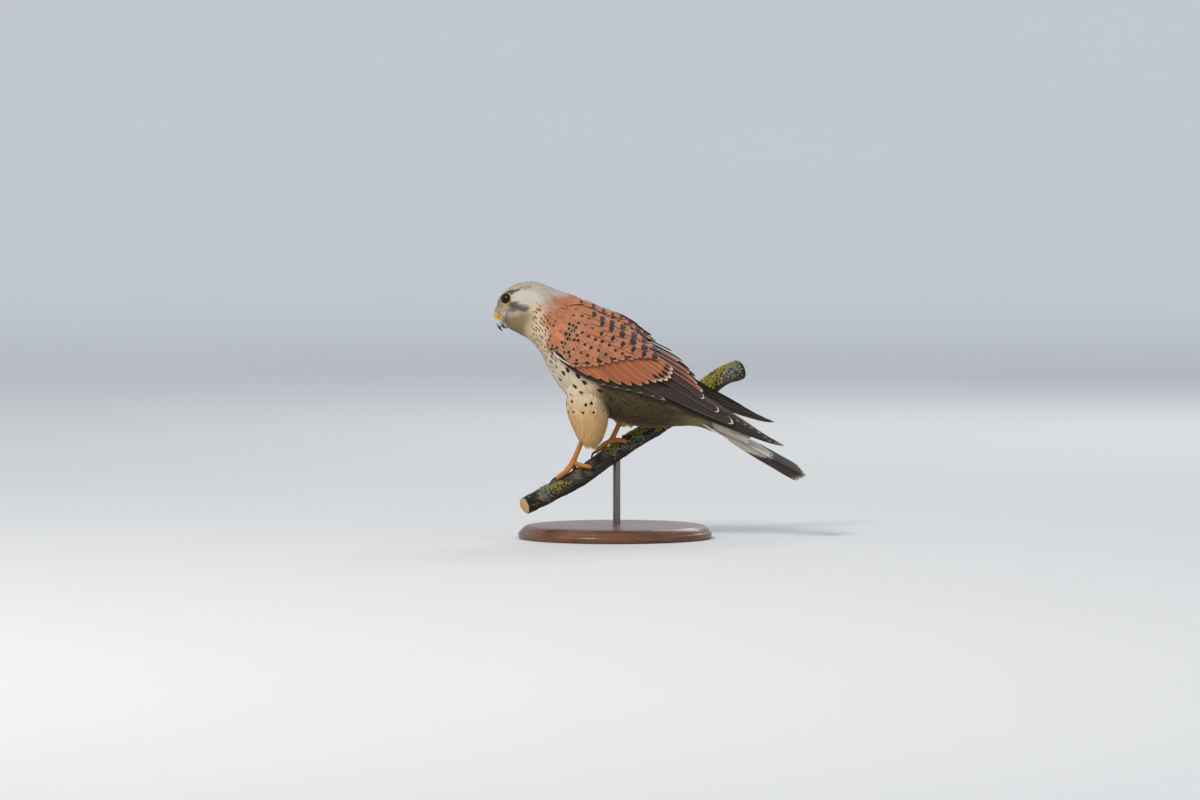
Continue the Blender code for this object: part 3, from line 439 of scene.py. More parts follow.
def closed_grid(name, grid, material, tint=None, sharp=None):
    """A closed piece from rings of points, rows by columns, each end drawn in to one point at its middle.

    The tint is one colour or a colour for each point of the grid.
    """
    rows, around = grid.shape[:2]
    index = np.arange(rows * around).reshape(rows, around)
    after = np.roll(index, -1, axis=1)
    quads = np.stack([index[:-1], after[:-1], after[1:], index[1:]], axis=-1).reshape(-1, 4)
    first, last = np.full(around, rows * around), np.full(around, rows * around + 1)
    ends = np.concatenate([
        np.stack([after[0], index[0], first], axis=-1), np.stack([index[-1], after[-1], last], axis=-1)
    ])

    def spread(values):
        """Values on the grid, and after them the means of its first and last ring."""
        values = np.broadcast_to(np.asarray(values, float), grid.shape)
        return np.concatenate([values.reshape(-1, 3), values[0].mean(0)[None], values[-1].mean(0)[None]])

    points = spread(grid)
    colours = {} if tint is None else {"tint": spread(tint)}
    return mesh_object(name, points, facing_out(points, quads, ends), material, colours, sharp=sharp)


def joined(name, pieces):
    """One piece from several meshes of one material."""
    shape = bmesh.new()
    for piece in pieces:
        shape.from_mesh(piece.data)
    mesh = bpy.data.meshes.new(name)
    shape.to_mesh(mesh)
    shape.free()
    material = pieces[0].data.materials[0].name
    for piece in pieces:
        bpy.data.objects.remove(piece)
    return link_object(name, mesh, material)


def tube(name, path, radii, material, around=24, relief=None, tint=None):
    """A closed tube: a circle carried along a path, with a radius for each point of it, and a relief."""
    heading = unit(np.gradient(path, axis=0))
    side = unit(np.cross(heading, np.array([0.31, 0.2, 0.93])))
    up = np.cross(side, heading)
    turns = circle(around)
    reach = radii[:, None] * np.ones(around)
    if relief:
        reach = reach + relief(np.linspace(0, 1, len(path))[:, None], turns[None])
    spokes = side[:, None] * np.cos(turns)[:, None] + up[:, None] * np.sin(turns)[:, None]
    return closed_grid(name, path[:, None] + reach[..., None] * spokes, material, tint)


# Feathers

# The places along a vane and across it of its grid of points, for feathers from plain to fine.
STRAND = (np.array([0, 0.5, 1.0]), np.array([-1.0, 0, 1]))
SMALL = (np.array([0, 0.4, 0.75, 1.0]), np.array([-1.0, 0, 1]))
SOFT = (np.array([0, 0.3, 0.6, 0.85, 1.0]), np.array([-1.0, 0, 1]))
CONTOUR = (np.array([0, 0.3, 0.55, 0.75, 0.88, 0.96, 1.0]), np.array([-1, -0.5, 0, 0.5, 1]))
COVERT = (
    np.array([0, 0.2, 0.4, 0.6, 0.74, 0.84, 0.91, 0.955, 0.985, 1.0]),
    np.array([-1, -0.6, -0.2, 0.2, 0.6, 1]),
)
FLIGHT = (
    np.array([0, 0.1, 0.22, 0.34, 0.46, 0.58, 0.70, 0.80, 0.87, 0.92, 0.955, 0.98, 0.993, 1.0]),
    np.array([-1, -0.66, -0.33, -0.05, 0.05, 0.4, 0.75, 1]),
)


def rounded(share, close=0.6, tip=0.3, bend=2.2):
    """Half width along a vane: it widens from its root, stays full, and closes in a round tip."""
    widen = 0.45 + 0.55 * np.clip(share / 0.4, 0, 1) ** 0.8
    shut = np.sqrt(np.clip(1 - np.clip((share - close) / (1 - close), 0, 1) ** bend, 0, 1))
    return widen * np.maximum(shut, tip)


def pointed(share, close, root=0.4):
    """Half width along a flight feather: it tapers slowly and closes in a narrower, rounded tip."""
    widen = root + (1 - root) * np.clip(share / 0.25, 0, 1)
    slim = 1 - 0.30 * step_up(share, 0.45, 0.95)
    shut = np.sqrt(1 - np.clip((share - close) / (1 - close), 0, 1) ** 2)
    return widen * slim * np.maximum(shut, 0.08)


def staggered_roots(surface, first, last, spacing, low, high, seed):
    """Roots in staggered rows over a surface: columns are a, b, row and place in the row.

    Along a row they are evenly spaced. Rows lie as far apart as the spacing asks where the surface runs
    longest from row to row, and roots are thinned out where it runs shorter.
    """
    rng = np.random.default_rng(seed)
    a, row, found = first, 0, []
    while a < last:
        gap = spacing(a)
        line = np.linspace(low, high, 121)
        points = surface(np.full_like(line, a), line)
        length = np.concatenate([[0], np.cumsum(np.linalg.norm(np.diff(points, axis=0), axis=1))])
        count = max(int(length[-1] / gap), 1)
        at = (np.arange(count) + (0.25 if row % 2 else 0.75) + rng.uniform(-0.12, 0.12, count)) / count
        b = np.interp(at * length[-1], length, line)
        run = np.linalg.norm(surface(a + 0.05, b) - surface(a, b), axis=1) / 0.05
        keep = rng.random(count) < 1.15 * run / run.max()
        shift = rng.uniform(-0.12, 0.12, count) * gap / run.max()
        columns = np.stack([a + shift, b, np.full(count, row), np.arange(count)], axis=1)
        found.append(columns[keep])
        a += gap * 0.87 / run.max()
        row += 1
    return np.concatenate(found)


def pace(surface, a, b, back=0.0):
    """How many mm a surface runs for one step of each of its two parameters."""
    run = surface(a + STEP, b) - surface(a - back, b)
    across = surface(a, b + STEP) - surface(a, b - back)
    return [np.linalg.norm(way, axis=-1) / (STEP + back) for way in (run, across)]


def lie(surface, roots, length, swing, stations, low, high, outward=1.0, last=None, curve=1.0):
    """Centre lines and normals of feathers that follow a surface.

    Each starts at its root, runs its length along the first parameter, swung sideways by an angle, and rises
    from the low height over the surface at its root to the high one at its tip.
    """
    a, b = roots[:, 0], roots[:, 1]
    run, across = pace(surface, np.clip(a, STEP, last - STEP) if last else a, b, STEP)
    reach = length[:, None] * stations
    there_a = a[:, None] + reach * (np.cos(swing) / run)[:, None]
    there_b = b[:, None] + reach * (np.sin(swing) / across)[:, None]
    normals = surface_normal(surface, there_a, there_b, outward, last)
    rise = np.asarray(low)[:, None] + (np.asarray(high) - low)[:, None] * stations**curve
    return surface(there_a, there_b) + normals * rise[..., None], normals


def vane_grid(centres, normals, outer, inner, across, tilt, camber):
    """Points of many vanes: from each centre line out to both edges, tilted like shingles and arched.

    A point is the centre, plus the side direction times its share of the half width, plus the normal times
    the camber, which is full at the shaft and nothing at the edges.
    """
    heading = unit(np.gradient(centres, axis=1))
    side = unit(np.cross(heading, normals))
    normal = np.cross(side, heading)
    lean = np.radians(np.asarray(tilt, float))[:, None, None]
    side, normal = side * np.cos(lean) + normal * np.sin(lean), normal * np.cos(lean) - side * np.sin(lean)
    reach = np.where(across > 0, across * outer[..., None], across * inner[..., None])
    arch = np.asarray(camber, float)[:, None, None] * (1 - across**2)
    points = centres[:, :, None] + side[:, :, None] * reach[..., None] + normal[:, :, None] * arch[..., None]
    return points, normal, reach


def vane_faces(rows, columns):
    """Quads of one closed vane: its upper sheet and its lower one, which share the rim."""
    top = np.arange(rows * columns).reshape(rows, columns)
    low = top.copy()
    inner = (rows - 2) * (columns - 2)
    low[1:-1, 1:-1] = rows * columns + np.arange(inner).reshape(rows - 2, columns - 2)

    def quads(index):
        corners = [index[:-1, :-1], index[:-1, 1:], index[1:, 1:], index[1:, :-1]]
        return np.stack(corners, axis=-1).reshape(-1, 4)

    return np.concatenate([quads(top), quads(low)[:, ::-1]]), rows * columns + inner


def feather_object(
    name, points, normal, reach, length, shape, thickness, looks, patches, material, field=None
):
    """One piece from many vanes.

    looks holds tint, mark and trim, for each vane or for each point of its grid; patches says where each vane
    is baked; field holds the place of each point on the surface below, in mm.
    """
    stations, across = shape
    count, rows, columns = points.shape[:3]
    faces, size = vane_faces(rows, columns)

    def doubled(upper, lower=None):
        """Values on each vane's upper sheet, and after them those of the lower sheet's inner points."""
        upper = np.broadcast_to(upper, (count, rows, columns, upper.shape[-1]))
        lower = upper[:, 1:-1, 1:-1] if lower is None else lower
        parts = [values.reshape(count, -1, values.shape[-1]) for values in (upper, lower)]
        return np.concatenate(parts, axis=1).reshape(count * size, -1)

    both = doubled(points, points[:, 1:-1, 1:-1] - normal[:, 1:-1, None] * thickness)
    lane = np.stack(np.broadcast_arrays((across[None] + 1) / 2, stations[:, None]), axis=-1)[None]
    down = np.broadcast_to(length[:, None, None] * stations[:, None], reach.shape)
    corner, patch = patches
    baked = corner[:, None, None] + (lane - 0.5) * patch
    maps = {"Vane": doubled(lane), "Span": doubled(np.stack([reach, down], -1)), "OFBake": doubled(baked)}
    if field is not None:
        maps["Field"] = doubled(field)
    colours = {k: doubled(v if v.ndim == 4 else v[:, None, None]) for k, v in looks.items()}
    index = (faces[None] + size * np.arange(count)[:, None, None]).reshape(-1, 4)
    return mesh_object(name, both, [index], material, colours, maps, sharp=60)


def root_patches(roots, first, last, low, high):
    """Where each feather is baked: a patch 0.003 across at its root's place on the surface's own unwrap."""
    corner = np.stack([(roots[:, 1] - low) / (high - low), (roots[:, 0] - first) / (last - first)], axis=-1)
    return 0.04 + 0.92 * np.clip(corner, 0, 1), 0.003


def own_patches(count):
    """Where each long vane is baked: a square of its own on a chequered sheet."""
    side = math.ceil(math.sqrt(count))
    place = np.arange(count)
    return (np.stack([place % side, place // side], axis=-1) + 0.5) / side, 0.9 / side


# Materials


class Signal:
    """A node's output, which can be added, multiplied and so on like a number, each time by a Math node."""

    def __init__(self, socket):
        self.socket, self.tree = socket, socket.id_data

    def maths(self, operation, *values):
        return add(self.tree, "ShaderNodeMath", *values, operation=operation)

    def __add__(self, other):
        return self.maths("ADD", self, other)

    def __sub__(self, other):
        return self.maths("SUBTRACT", self, other)

    def __rsub__(self, other):
        return self.maths("SUBTRACT", other, self)

    def __mul__(self, other):
        return self.maths("MULTIPLY", self, other)

    def __truediv__(self, other):
        return self.maths("DIVIDE", self, other)

    def __pow__(self, other):
        return self.maths("POWER", self, other)

    def __abs__(self):
        return self.maths("ABSOLUTE", self)

    def most(self, other):
        return self.maths("MAXIMUM", self, other)


def feed(node, values):
    """Links signals to a node's inputs, or sets their constants; the inputs go by number or name."""
    for key, value in values.items():
        if isinstance(value, Signal):
            node.id_data.links.new(value.socket, node.inputs[key])
        else:
            node.inputs[key].default_value = value


def add(tree, kind, *values, **settings):
    """Adds a node, sets its fields, and feeds its inputs in order."""
    made = tree.nodes.new(kind)
    for key, value in settings.items():
        setattr(made, key, value)
    feed(made, dict(enumerate(values)))
    return Signal(made.outputs[0])


def split(vector):
    """The three parts of a vector."""
    return [Signal(part) for part in add(vector.tree, "ShaderNodeSeparateXYZ", vector).socket.node.outputs]


def vector_maths(operation, first, second):
    """Two vectors added, multiplied and so on."""
    return add(first.tree, "ShaderNodeVectorMath", first, second, operation=operation)


def blend(share, first, second, kind="MIX"):
    """A colour mixed from two by a share."""
    tree = next(value.tree for value in (share, first, second) if isinstance(value, Signal))
    made = tree.nodes.new("ShaderNodeMix")
    made.data_type, made.blend_type = "RGBA", kind
    feed(made, {0: share, 6: first, 7: second})
    return Signal(made.outputs[2])


def shaded(colour, shade):
    """A colour multiplied by a value."""
    return blend(1.0, colour, add(shade.tree, "ShaderNodeCombineColor", shade, shade, shade), "MULTIPLY")


def ramp(value, low, high):
    """A smooth rise of a value from 0 to 1 between two limits."""
    return add(value.tree, "ShaderNodeMapRange", value, low, high, interpolation_type="SMOOTHSTEP")


def noise(vector, scale, detail, roughness=0.55):
    """Noise read at a vector, as a value."""
    made = vector.tree.nodes.new("ShaderNodeTexNoise")
    feed(made, {"Vector": vector, "Scale": scale, "Detail": detail, "Roughness": roughness})
    return Signal(made.outputs["Fac"])


def group(name, inputs, outputs, build):
    """A shader node group with named inputs and outputs, made once."""
    if name in bpy.data.node_groups:
        return bpy.data.node_groups[name]
    tree = bpy.data.node_groups.new(name, "ShaderNodeTree")
    for way, sockets in (("INPUT", inputs), ("OUTPUT", outputs)):
        for title, kind in sockets.items():
            tree.interface.new_socket(title, in_out=way, socket_type=kind)
    source, sink = tree.nodes.new("NodeGroupInput"), tree.nodes.new("NodeGroupOutput")
    feed(sink, build(tree, {title: Signal(source.outputs[title]) for title in inputs}))
    return tree


VALUE, COLOUR, VECTOR = "NodeSocketFloat", "NodeSocketColor", "NodeSocketVector"


def vane_pattern():
    """The pattern of a feather: barbs, shaft, spot and pale edges, laid out along and across the vane."""

    def build(tree, given):
        lane, mark, trim, span = (split(given[key]) for key in ("Vane", "Mark", "Trim", "Span"))
        edge = abs(lane[0] * 2.0 - 1.0)
        out = abs(span[0])
        barb_place = add(tree, "ShaderNodeCombineXYZ", out * 0.35, (span[1] + out * 1.1) * 3.4)
        barbs = noise(barb_place, 1.0, 2.0, 0.7)
        wobble = (noise(given["Span"], 0.55, 2.0) - 0.5) * 1.6
        wide = (edge / mark[0].most(0.001)) ** 1.5
        tall = (abs(lane[1] - mark[2]) / mark[1].most(0.001)) ** 1.5
        spot = ramp(wide + tall + wobble, 1.2, 0.8)
        tip = ramp(lane[1] + edge * edge * trim[1], 1.0 - trim[1], 1.0 - trim[1] * 0.4)
        rim = ramp(edge, 0.74, 0.95) * ramp(lane[1], 0.35, 0.8)
        base = shaded(given["Tint"], barbs * 0.56 + 0.72)
        base = blend(ramp(edge, 0.09, 0.03) * 0.35, base, given["Shaft"])
        base = blend(spot, base, given["Spot"])
        base = blend((tip * trim[0]).most(rim * trim[2]), base, given["Fringe"])
        return {"Colour": base, "Height": barbs + ramp(edge, 0.12, 0.0) * 0.6}

    inputs = {
        "Vane": VECTOR, "Span": VECTOR, "Tint": COLOUR, "Mark": VECTOR, "Trim": VECTOR,
        "Spot": COLOUR, "Fringe": COLOUR, "Shaft": COLOUR,
    }
    return group("Vane pattern", inputs, {"Colour": COLOUR, "Height": VALUE}, build)


def cells(field, cell, half, size):
    """Drops, one to each cell of an uneven lattice: 1 inside a drop, which widens towards its lower end."""
    scaled = vector_maths("MULTIPLY", field, (1 / cell[0], 1 / cell[1], 0.0))
    lattice = field.tree.nodes.new("ShaderNodeTexVoronoi")
    lattice.voronoi_dimensions = "2D"
    feed(lattice, {"Vector": scaled, "Scale": 1.0, "Randomness": 0.6})
    off = vector_maths("SUBTRACT", scaled, Signal(lattice.outputs["Position"]))
    across, down, _ = split(vector_maths("MULTIPLY", off, (cell[0] / half[0], cell[1] / half[1], 0.0)))
    widen = add(field.tree, "ShaderNodeMapRange", down, -1.0, 1.0, 0.45, 1.25)
    far = abs(across / widen) ** 1.6 + abs(down) ** 1.6
    return ramp(far / size.most(0.001), 1.25, 0.75)


def coat_pattern():
    """The pattern of small feathers: barbs, and streaks and drops laid out over the surface below."""

    def build(tree, given):
        lane, mark, span = (split(given[key]) for key in ("Vane", "Mark", "Span"))
        out = abs(span[0])
        place = add(tree, "ShaderNodeCombineXYZ", out * 0.4, (span[1] + out * 1.3) * 3.0)
        barbs = noise(vector_maths("ADD", place, given["Field"]), 1.0, 2.0, 0.7)
        ragged = add(tree, "ShaderNodeCombineXYZ", 0.0, (barbs - 0.5) * 1.1)
        field = vector_maths("ADD", given["Field"], ragged)
        streaks = cells(field, (3.1, 6.2), (0.55, 2.3), mark[0])
        drops = cells(field, (7.6, 8.6), (1.35, 1.9), mark[1])
        base = shaded(given["Tint"], barbs * 0.40 + 0.80)
        base = blend(ramp(lane[1], 0.75, 1.0) * 0.06, base, given["Fringe"])
        return {"Colour": blend(streaks.most(drops), base, given["Spot"]), "Height": barbs}

    inputs = {
        "Vane": VECTOR, "Span": VECTOR, "Field": VECTOR, "Tint": COLOUR, "Mark": VECTOR,
        "Spot": COLOUR, "Fringe": COLOUR,
    }
    return group("Coat pattern", inputs, {"Colour": COLOUR, "Height": VALUE}, build)


def weathering():
    """Uneven colour on any surface: broad blotches and fine specks read from object coordinates."""

    def build(tree, given):
        scaled = add(tree, "ShaderNodeVectorMath", given["Place"], operation="SCALE")
        feed(scaled.socket.node, {"Scale": given["Scale"]})
        broad, fine = noise(scaled, 1.0, 4.0), noise(scaled, 9.0, 3.0, 0.7)
        both = broad * 0.65 + fine * 0.35
        shade = (both - 0.5) * given["Amount"] + 1.0
        return {"Colour": shaded(given["Colour"], shade), "Value": both, "Fine": fine}

    inputs = {"Place": VECTOR, "Colour": COLOUR, "Scale": VALUE, "Amount": VALUE}
    return group("Weathering", inputs, {"Colour": COLOUR, "Value": VALUE, "Fine": VALUE}, build)


def new_material(name):
    """The node tree and the shader of a new material, which takes the place of one made before."""
    if name in bpy.data.materials:
        bpy.data.materials.remove(bpy.data.materials[name])
    material = bpy.data.materials.new(name)
    material.use_nodes = True
    return material.node_tree, material.node_tree.nodes["Principled BSDF"]


def place_group(tree, made, **values):
    """Places a node group, feeds its named inputs and gives its outputs by name."""
    node = tree.nodes.new("ShaderNodeGroup")
    node.node_tree = made
    feed(node, values)
    return {output.name: Signal(output) for output in node.outputs}


def raise_bump(shader, height, strength):
    """Feeds a height into the shader's normal."""
    bump = shader.id_data.nodes.new("ShaderNodeBump")
    feed(bump, {"Strength": strength, "Distance": BUMP_DEPTH, "Height": height})
    feed(shader, {"Normal": Signal(bump.outputs["Normal"])})


def attribute(tree, name):
    """A named attribute of the mesh as a colour."""
    return add(tree, "ShaderNodeAttribute", attribute_name=name)


def uv_map(tree, name):
    """A named UV map."""
    return add(tree, "ShaderNodeUVMap", uv_map=name)


def object_place(tree):
    """Object coordinates."""
    return Signal(tree.nodes.new("ShaderNodeTexCoord").outputs["Object"])


def solid_colour(colour):
    """A colour setting as four numbers."""
    return (*(float(part) for part in colour), 1.0)


def plumage_material(name, roughness, relief, small=False):
    """Feathers: the pattern of the vanes or of the coat over their own tint, rough, with a faint sheen."""
    birds = bpy.context.scene.kestrel_plumage
    tree, shader = new_material(name)
    fed = {key: uv_map(tree, key) for key in ("Vane", "Span")}
    fed.update({title: attribute(tree, title.lower()) for title in ("Tint", "Mark")})
    fed.update(Spot=solid_colour(birds.spot), Fringe=solid_colour(birds.fringe))
    if small:
        made = place_group(tree, coat_pattern(), Field=uv_map(tree, "Field"), **fed)
    else:
        fed.update(Trim=attribute(tree, "trim"), Shaft=solid_colour(birds.flight))
        made = place_group(tree, vane_pattern(), **fed)
    feed(shader, {
        "Base Color": made["Colour"], "Roughness": roughness, "Specular IOR Level": 0.25, "Sheen Weight": 0.12
    })
    raise_bump(shader, made["Height"], relief)
    return name


def finish_material(
    name, roughness, scale, amount, relief, colour=None, coat=0.0, metallic=0.0, specular=0.5
):
    """A finish with uneven shade and relief, read from object coordinates.

    Its colour is the mesh's own tint, or the one given, and with that the roughness is uneven as well.
    """
    tree, shader = new_material(name)
    base = attribute(tree, "tint") if colour is None else solid_colour(colour)
    made = place_group(tree, weathering(), Place=object_place(tree), Colour=base, Scale=scale, Amount=amount)
    if colour is not None:
        limits = (0.3, 0.7, roughness - 0.06, roughness + 0.06)
        roughness = add(tree, "ShaderNodeMapRange", made["Value"], *limits)
    feed(shader, {
        "Base Color": made["Colour"], "Roughness": roughness, "Metallic": metallic, "Coat Weight": coat,
        "Specular IOR Level": specular,
    })
    raise_bump(shader, made["Fine"], relief)
    return name


# Plumage of the trunk


def near_line(x, z, start, end, width):
    """1 on a line in the side view and 0 past its width, with a soft edge."""
    start, end = np.array(start, float), np.array(end, float)
    run = end - start
    share = np.clip(((x - start[0]) * run[0] + (z - start[1]) * run[1]) / (run @ run), 0, 1)
    off = np.hypot(x - start[0] - run[0] * share, z - start[1] - run[1] * share)
    return step_up(off, width, width * 0.2)


def near_spot(x, z, middle, reach):
    """1 at a place in the side view and 0 past an oval round it."""
    return step_up(np.hypot((x - middle[0]) / reach[0], (z - middle[1]) / reach[1]), 1.0, 0.45)


def from_back(turn):
    """The angle from the back line in degrees, the same on both sides."""
    return np.abs(np.degrees((turn + math.pi) % (2 * math.pi) - math.pi))


# The dark lines of the face in the side view: start, end, width and strength.
FACE_LINES = (
    ((-100.0, 227.4), (-91.0, 231.0), 2.5, 0.95),
    ((-92.0, 230.5), (-78.0, 235.0), 2.2, 0.40),
    ((-94.5, 217.0), (-83.0, 213.2), 5.4, 0.88),
)


def trunk_tint(points, place, turn):
    """The plumage's colour at points of the trunk: layers, each over those before it, by place and angle."""
    birds = bpy.context.scene.kestrel_plumage
    x, z = points[..., 0], points[..., 2]
    degrees = from_back(turn)
    soft = 3.0 * ripple(x * 0.12, z * 0.12 + points[..., 1] * 0.1, 11)
    front = step_up(x + 0.4 * (235 - z) + soft, -78, -94) * step_up(degrees, 62, 30)
    throat = step_up(z - 0.25 * (x + 90) + soft * 0.4, 211.0, 205.5) * step_up(degrees, 82, 100)
    below_throat = 7.5 * (place - 4.55) + 0.12 * (degrees - 90) + soft
    breast = step_up(below_throat, -6.0, 6.5) * step_up(degrees, 68, 92)
    side = 112 - 46 * step_up(place, 6.8, 8.2)
    back = step_up(x + 0.27 * degrees + soft, -49, -37) * step_up(degrees, side, side - 22)
    # The belly's darkened colour reaches forward under the front of the wing, where the wing's shadow falls:
    # painted shade.
    belly = step_up(place + 0.1 * soft + 0.012 * (120 - degrees), 9.1, 10.4) * step_up(degrees, 62, 80)
    # The vent's colour, darkened in part as painted shade, lies under the root of the tail.
    edge = 98 + 48 * step_up(place, 15.3, 16.0)
    vent = step_up(place, 13.4, 15.0) * step_up(degrees, edge, edge + 18)
    rump = step_up(place + 0.04 * soft, 12.6, 13.6) * step_up(degrees, edge + 4, edge - 16)
    layers = [
        (birds.forehead, front),
        (birds.cheek, 0.9 * near_spot(x, z, (-83, 223), (19, 13))),
        (birds.cheek, 0.6 * near_spot(x, z, (-104, 211), (9, 8))),
        (birds.throat, throat),
        (birds.breast, breast),
        (mixed(birds.thigh, birds.back, 0.4), 0.30 * breast * step_up(place, 7.6, 6.2)),
        (birds.thigh, 0.75 * near_spot(x, z, (-22, 118), (30, 34))),
        (birds.back, back),
        (birds.belly, belly),
        (birds.vent, vent),
        (mixed(birds.rump, birds.tail, step_up(place, 15.0, 16.0)), rump),
    ]
    x, z = x + 1.6 * ripple(x * 0.3, z * 0.5, 12), z + 0.9 * ripple(x * 0.3, z * 0.5, 13)
    layers += [(birds.mask, strength * near_line(x, z, *line)) for *line, strength in FACE_LINES]
    lore = near_line(x, z, (-103.2, 213.6), (-108.0, 209.0), 2.4) * step_up(degrees, 45, 60)
    gape = near_line(x, z, (-103.5, 200.0), (-98.0, 210.5), 2.2) * step_up(degrees, 60, 80)
    layers += [
        (birds.mask, 0.55 * near_spot(x, z, (-96.5, 215.5), (8.0, 6.0))),
        (birds.mask, 0.45 * near_spot(x, z, (-107.0, 218.5), (4.5, 6.5))),
        (birds.cere, 0.85 * lore),
        (np.array(birds.cere) * [0.55, 0.5, 0.9], 0.6 * gape),
    ]
    tint = birds.crown
    for colour, share in layers:
        tint = mixed(tint, colour, share)
    return tint


def trunk_marks(points, place, turn):
    """How large the streaks and the drops are at points of the trunk."""
    degrees = from_back(turn)
    under = step_up(degrees, 74, 90)
    streak = 1.2 * under * step_up(place + 0.01 * (degrees - 90), 4.5, 5.2) * step_up(place, 8.0, 7.2)
    streak = streak + 0.30 * step_up(degrees, 62, 30) * step_up(place, 1.0, 2.2) * step_up(place, 5.4, 4.4)
    drop = under * step_up(place, 7.2, 8.2) * (1.15 - 0.8 * step_up(place, 9.4, 11.6))
    drop = drop * step_up(place, 13.4, 12.4) * (1 - 0.6 * step_up(degrees, 140, 165))
    back = step_up(degrees, 74, 60) * step_up(points[..., 0], -44, -36) * step_up(place, 13.0, 12.4)
    return np.stack([streak, drop + 0.75 * back, 0 * drop], axis=-1)


def varied(tint, seed, amount):
    """A slightly different tone for each feather."""
    rng = np.random.default_rng(seed)
    shift = rng.standard_normal(len(tint)).reshape(-1, *[1] * (tint.ndim - 1))
    return tint * (1 + amount * shift).clip(0.6, 1.4)


def coat(
    name, surface, roots, length, width, low, high, paint, patch_limits, seed,
    shape=SOFT, swing=0.0, last=None, outward=1.0, curve=0.55, stretch=(24.0, 15.0), toss=0.09, close=0.6,
    bend=2.2,
):
    """A piece of small feathers from their roots: each follows the surface and rises towards its tip.

    paint gives the tints and marks at points and their two places on the surface; patch_limits holds the
    first and last value of both places, for the bake; stretch turns the places into mm.
    """
    rng = np.random.default_rng(seed)
    stations, across = shape
    count = len(roots)
    length = length * rng.uniform(0.86, 1.14, count)
    width = width * rng.uniform(0.88, 1.12, count)
    swing = swing + rng.normal(0, toss, count)
    high = high + rng.uniform(-0.1, 0.14, count) * length * 0.05
    low = np.full(count, low)
    centres, normals = lie(surface, roots, length, swing, stations, low, high, outward, last, curve)
    half = width[:, None] * rounded(stations, close, 0.2, bend)
    lean = rng.normal(0, 2.5, count)
    points, normal, reach = vane_grid(centres, normals, half, half, across, lean, 0.10 * width)
    a, b = roots[:, 0], roots[:, 1]
    run, turn = (np.maximum(value, 1) for value in pace(surface, a, b))
    ahead = a[:, None] + length[:, None] * stations * (np.cos(swing) / run)[:, None]
    aside = b[:, None] + length[:, None] * stations * (np.sin(swing) / turn)[:, None]
    ahead = np.broadcast_to(ahead[:, :, None], reach.shape)
    aside = aside[:, :, None] + reach / turn[:, None, None] * outward
    tint, mark = paint(points, ahead, aside)
    field = np.stack([aside * stretch[0], ahead * stretch[1]], axis=-1)
    return feather_object(
        name, points, normal, reach, length, shape, COAT_THICK,
        {"tint": varied(tint, seed, 0.06), "mark": mark}, root_patches(roots, *patch_limits), "coat_plumage",
        field,
    )


def eye_frame(side):
    """The centre of an eye, the direction it looks in, and the directions across it to the bill and up."""
    sign = 1 if side == "left" else -1
    place, turn = np.array(EYE_ROW), np.array(math.radians(EYE_TURN) * sign)
    point, look = trunk(place, turn), surface_normal(trunk, place, turn)
    look = unit(look + np.array([0.0, -0.35 * sign, 0.0]))
    centre = point - look * math.sqrt(EYE_RADIUS**2 - EYE_OPENING**2)
    front = unit(np.cross(look, [0.0, 0.0, 1.0])) * sign
    return centre, look, front, np.cross(front, look) * sign


def clear_of_eyes(points, reach):
    """Which points lie outside the ring of bare skin round each eye."""
    keep = np.ones(len(points), bool)
    for side in ("left", "right"):
        centre, look, _, _ = eye_frame(side)
        keep &= np.linalg.norm(points - (centre + look * EYE_RADIUS * 0.7), axis=-1) > reach
    return keep


def trunk_paint(points, place, turn):
    """Tint and marks of feathers on the trunk."""
    return trunk_tint(points, place, turn), trunk_marks(points, place, turn)


def flank(place, turn):
    """The trunk, pushed out sideways where it passes over a thigh, with a smooth hollow between them."""
    points = trunk(place, turn)
    for side, sign in (("left", -1.0), ("right", 1.0)):
        rows = np.array([*THIGHS[side][::-1], (THIGHS[side][0][0], 164.0, 12.0, 0.0)])
        x, z = points[..., 0], points[..., 2]
        middle, long_half, wide_half = (np.interp(z, rows[:, 1], rows[:, k]) for k in (0, 2, 3))
        inside = np.clip(1 - ((x - middle) / (long_half + 3)) ** 2, 0, 1)
        reach = abs(THIGH_SIDE[side]) + wide_half * np.sqrt(inside) - 3.2 * step_up(z, 142, 116)
        lack = reach - points[..., 1] * sign
        push = (lack + np.sqrt(lack**2 + 10.0)) / 2 * step_up(inside, 0.0, 0.35)
        push = push * step_up(points[..., 1] * sign, 2, 9)
        points = points + np.stack([0 * push, push * sign, 0 * push], axis=-1)
    return points


def trunk_coat(
    name, first, last, spacing, low, high, length, width, seed, depth, rise, gap=0.0, surface=trunk, **more
):
    """Feathers over a stretch of the trunk, between two places and two angles in degrees."""
    roots = staggered_roots(surface, first, last, spacing, math.radians(low), math.radians(high), seed)
    points, stretch = trunk(roots[:, 0], roots[:, 1]), 1.0
    if gap:
        roots = roots[clear_of_eyes(points, gap)]
    if surface is flank:
        middle = np.where(points[:, 1] < 0, LEFT_THIGH[1][0], RIGHT_THIGH[1][0])
        near = np.exp(-(((points[:, 0] - middle) / 22) ** 2)) * step_up(points[:, 2], 160, 130)
        more["swing"] = 1.0 * near * np.sign(roots[:, 1])
        stretch = 1 + 0.8 * near
    return coat(
        name, surface, roots, length(roots[:, 0]) * stretch, width(roots[:, 0]), depth, rise, trunk_paint,
        (0, BODY_LAST, -math.pi, math.pi), seed, last=BODY_LAST, **more,
    )


def plain_looks(tint, mark=(0, 0, 0), trim=(0, 0, 0)):
    """The attributes of long vanes: tint, mark and trim.

    The mark is a spot's half width, half length and place; the trim is how pale the tip is, how wide its pale
    edge is, and how pale the sides are.
    """
    mark, trim = (np.tile(np.array(values, float), (len(tint), 1)) for values in (mark, trim))
    return {"tint": tint, "mark": mark, "trim": trim}


# Operators


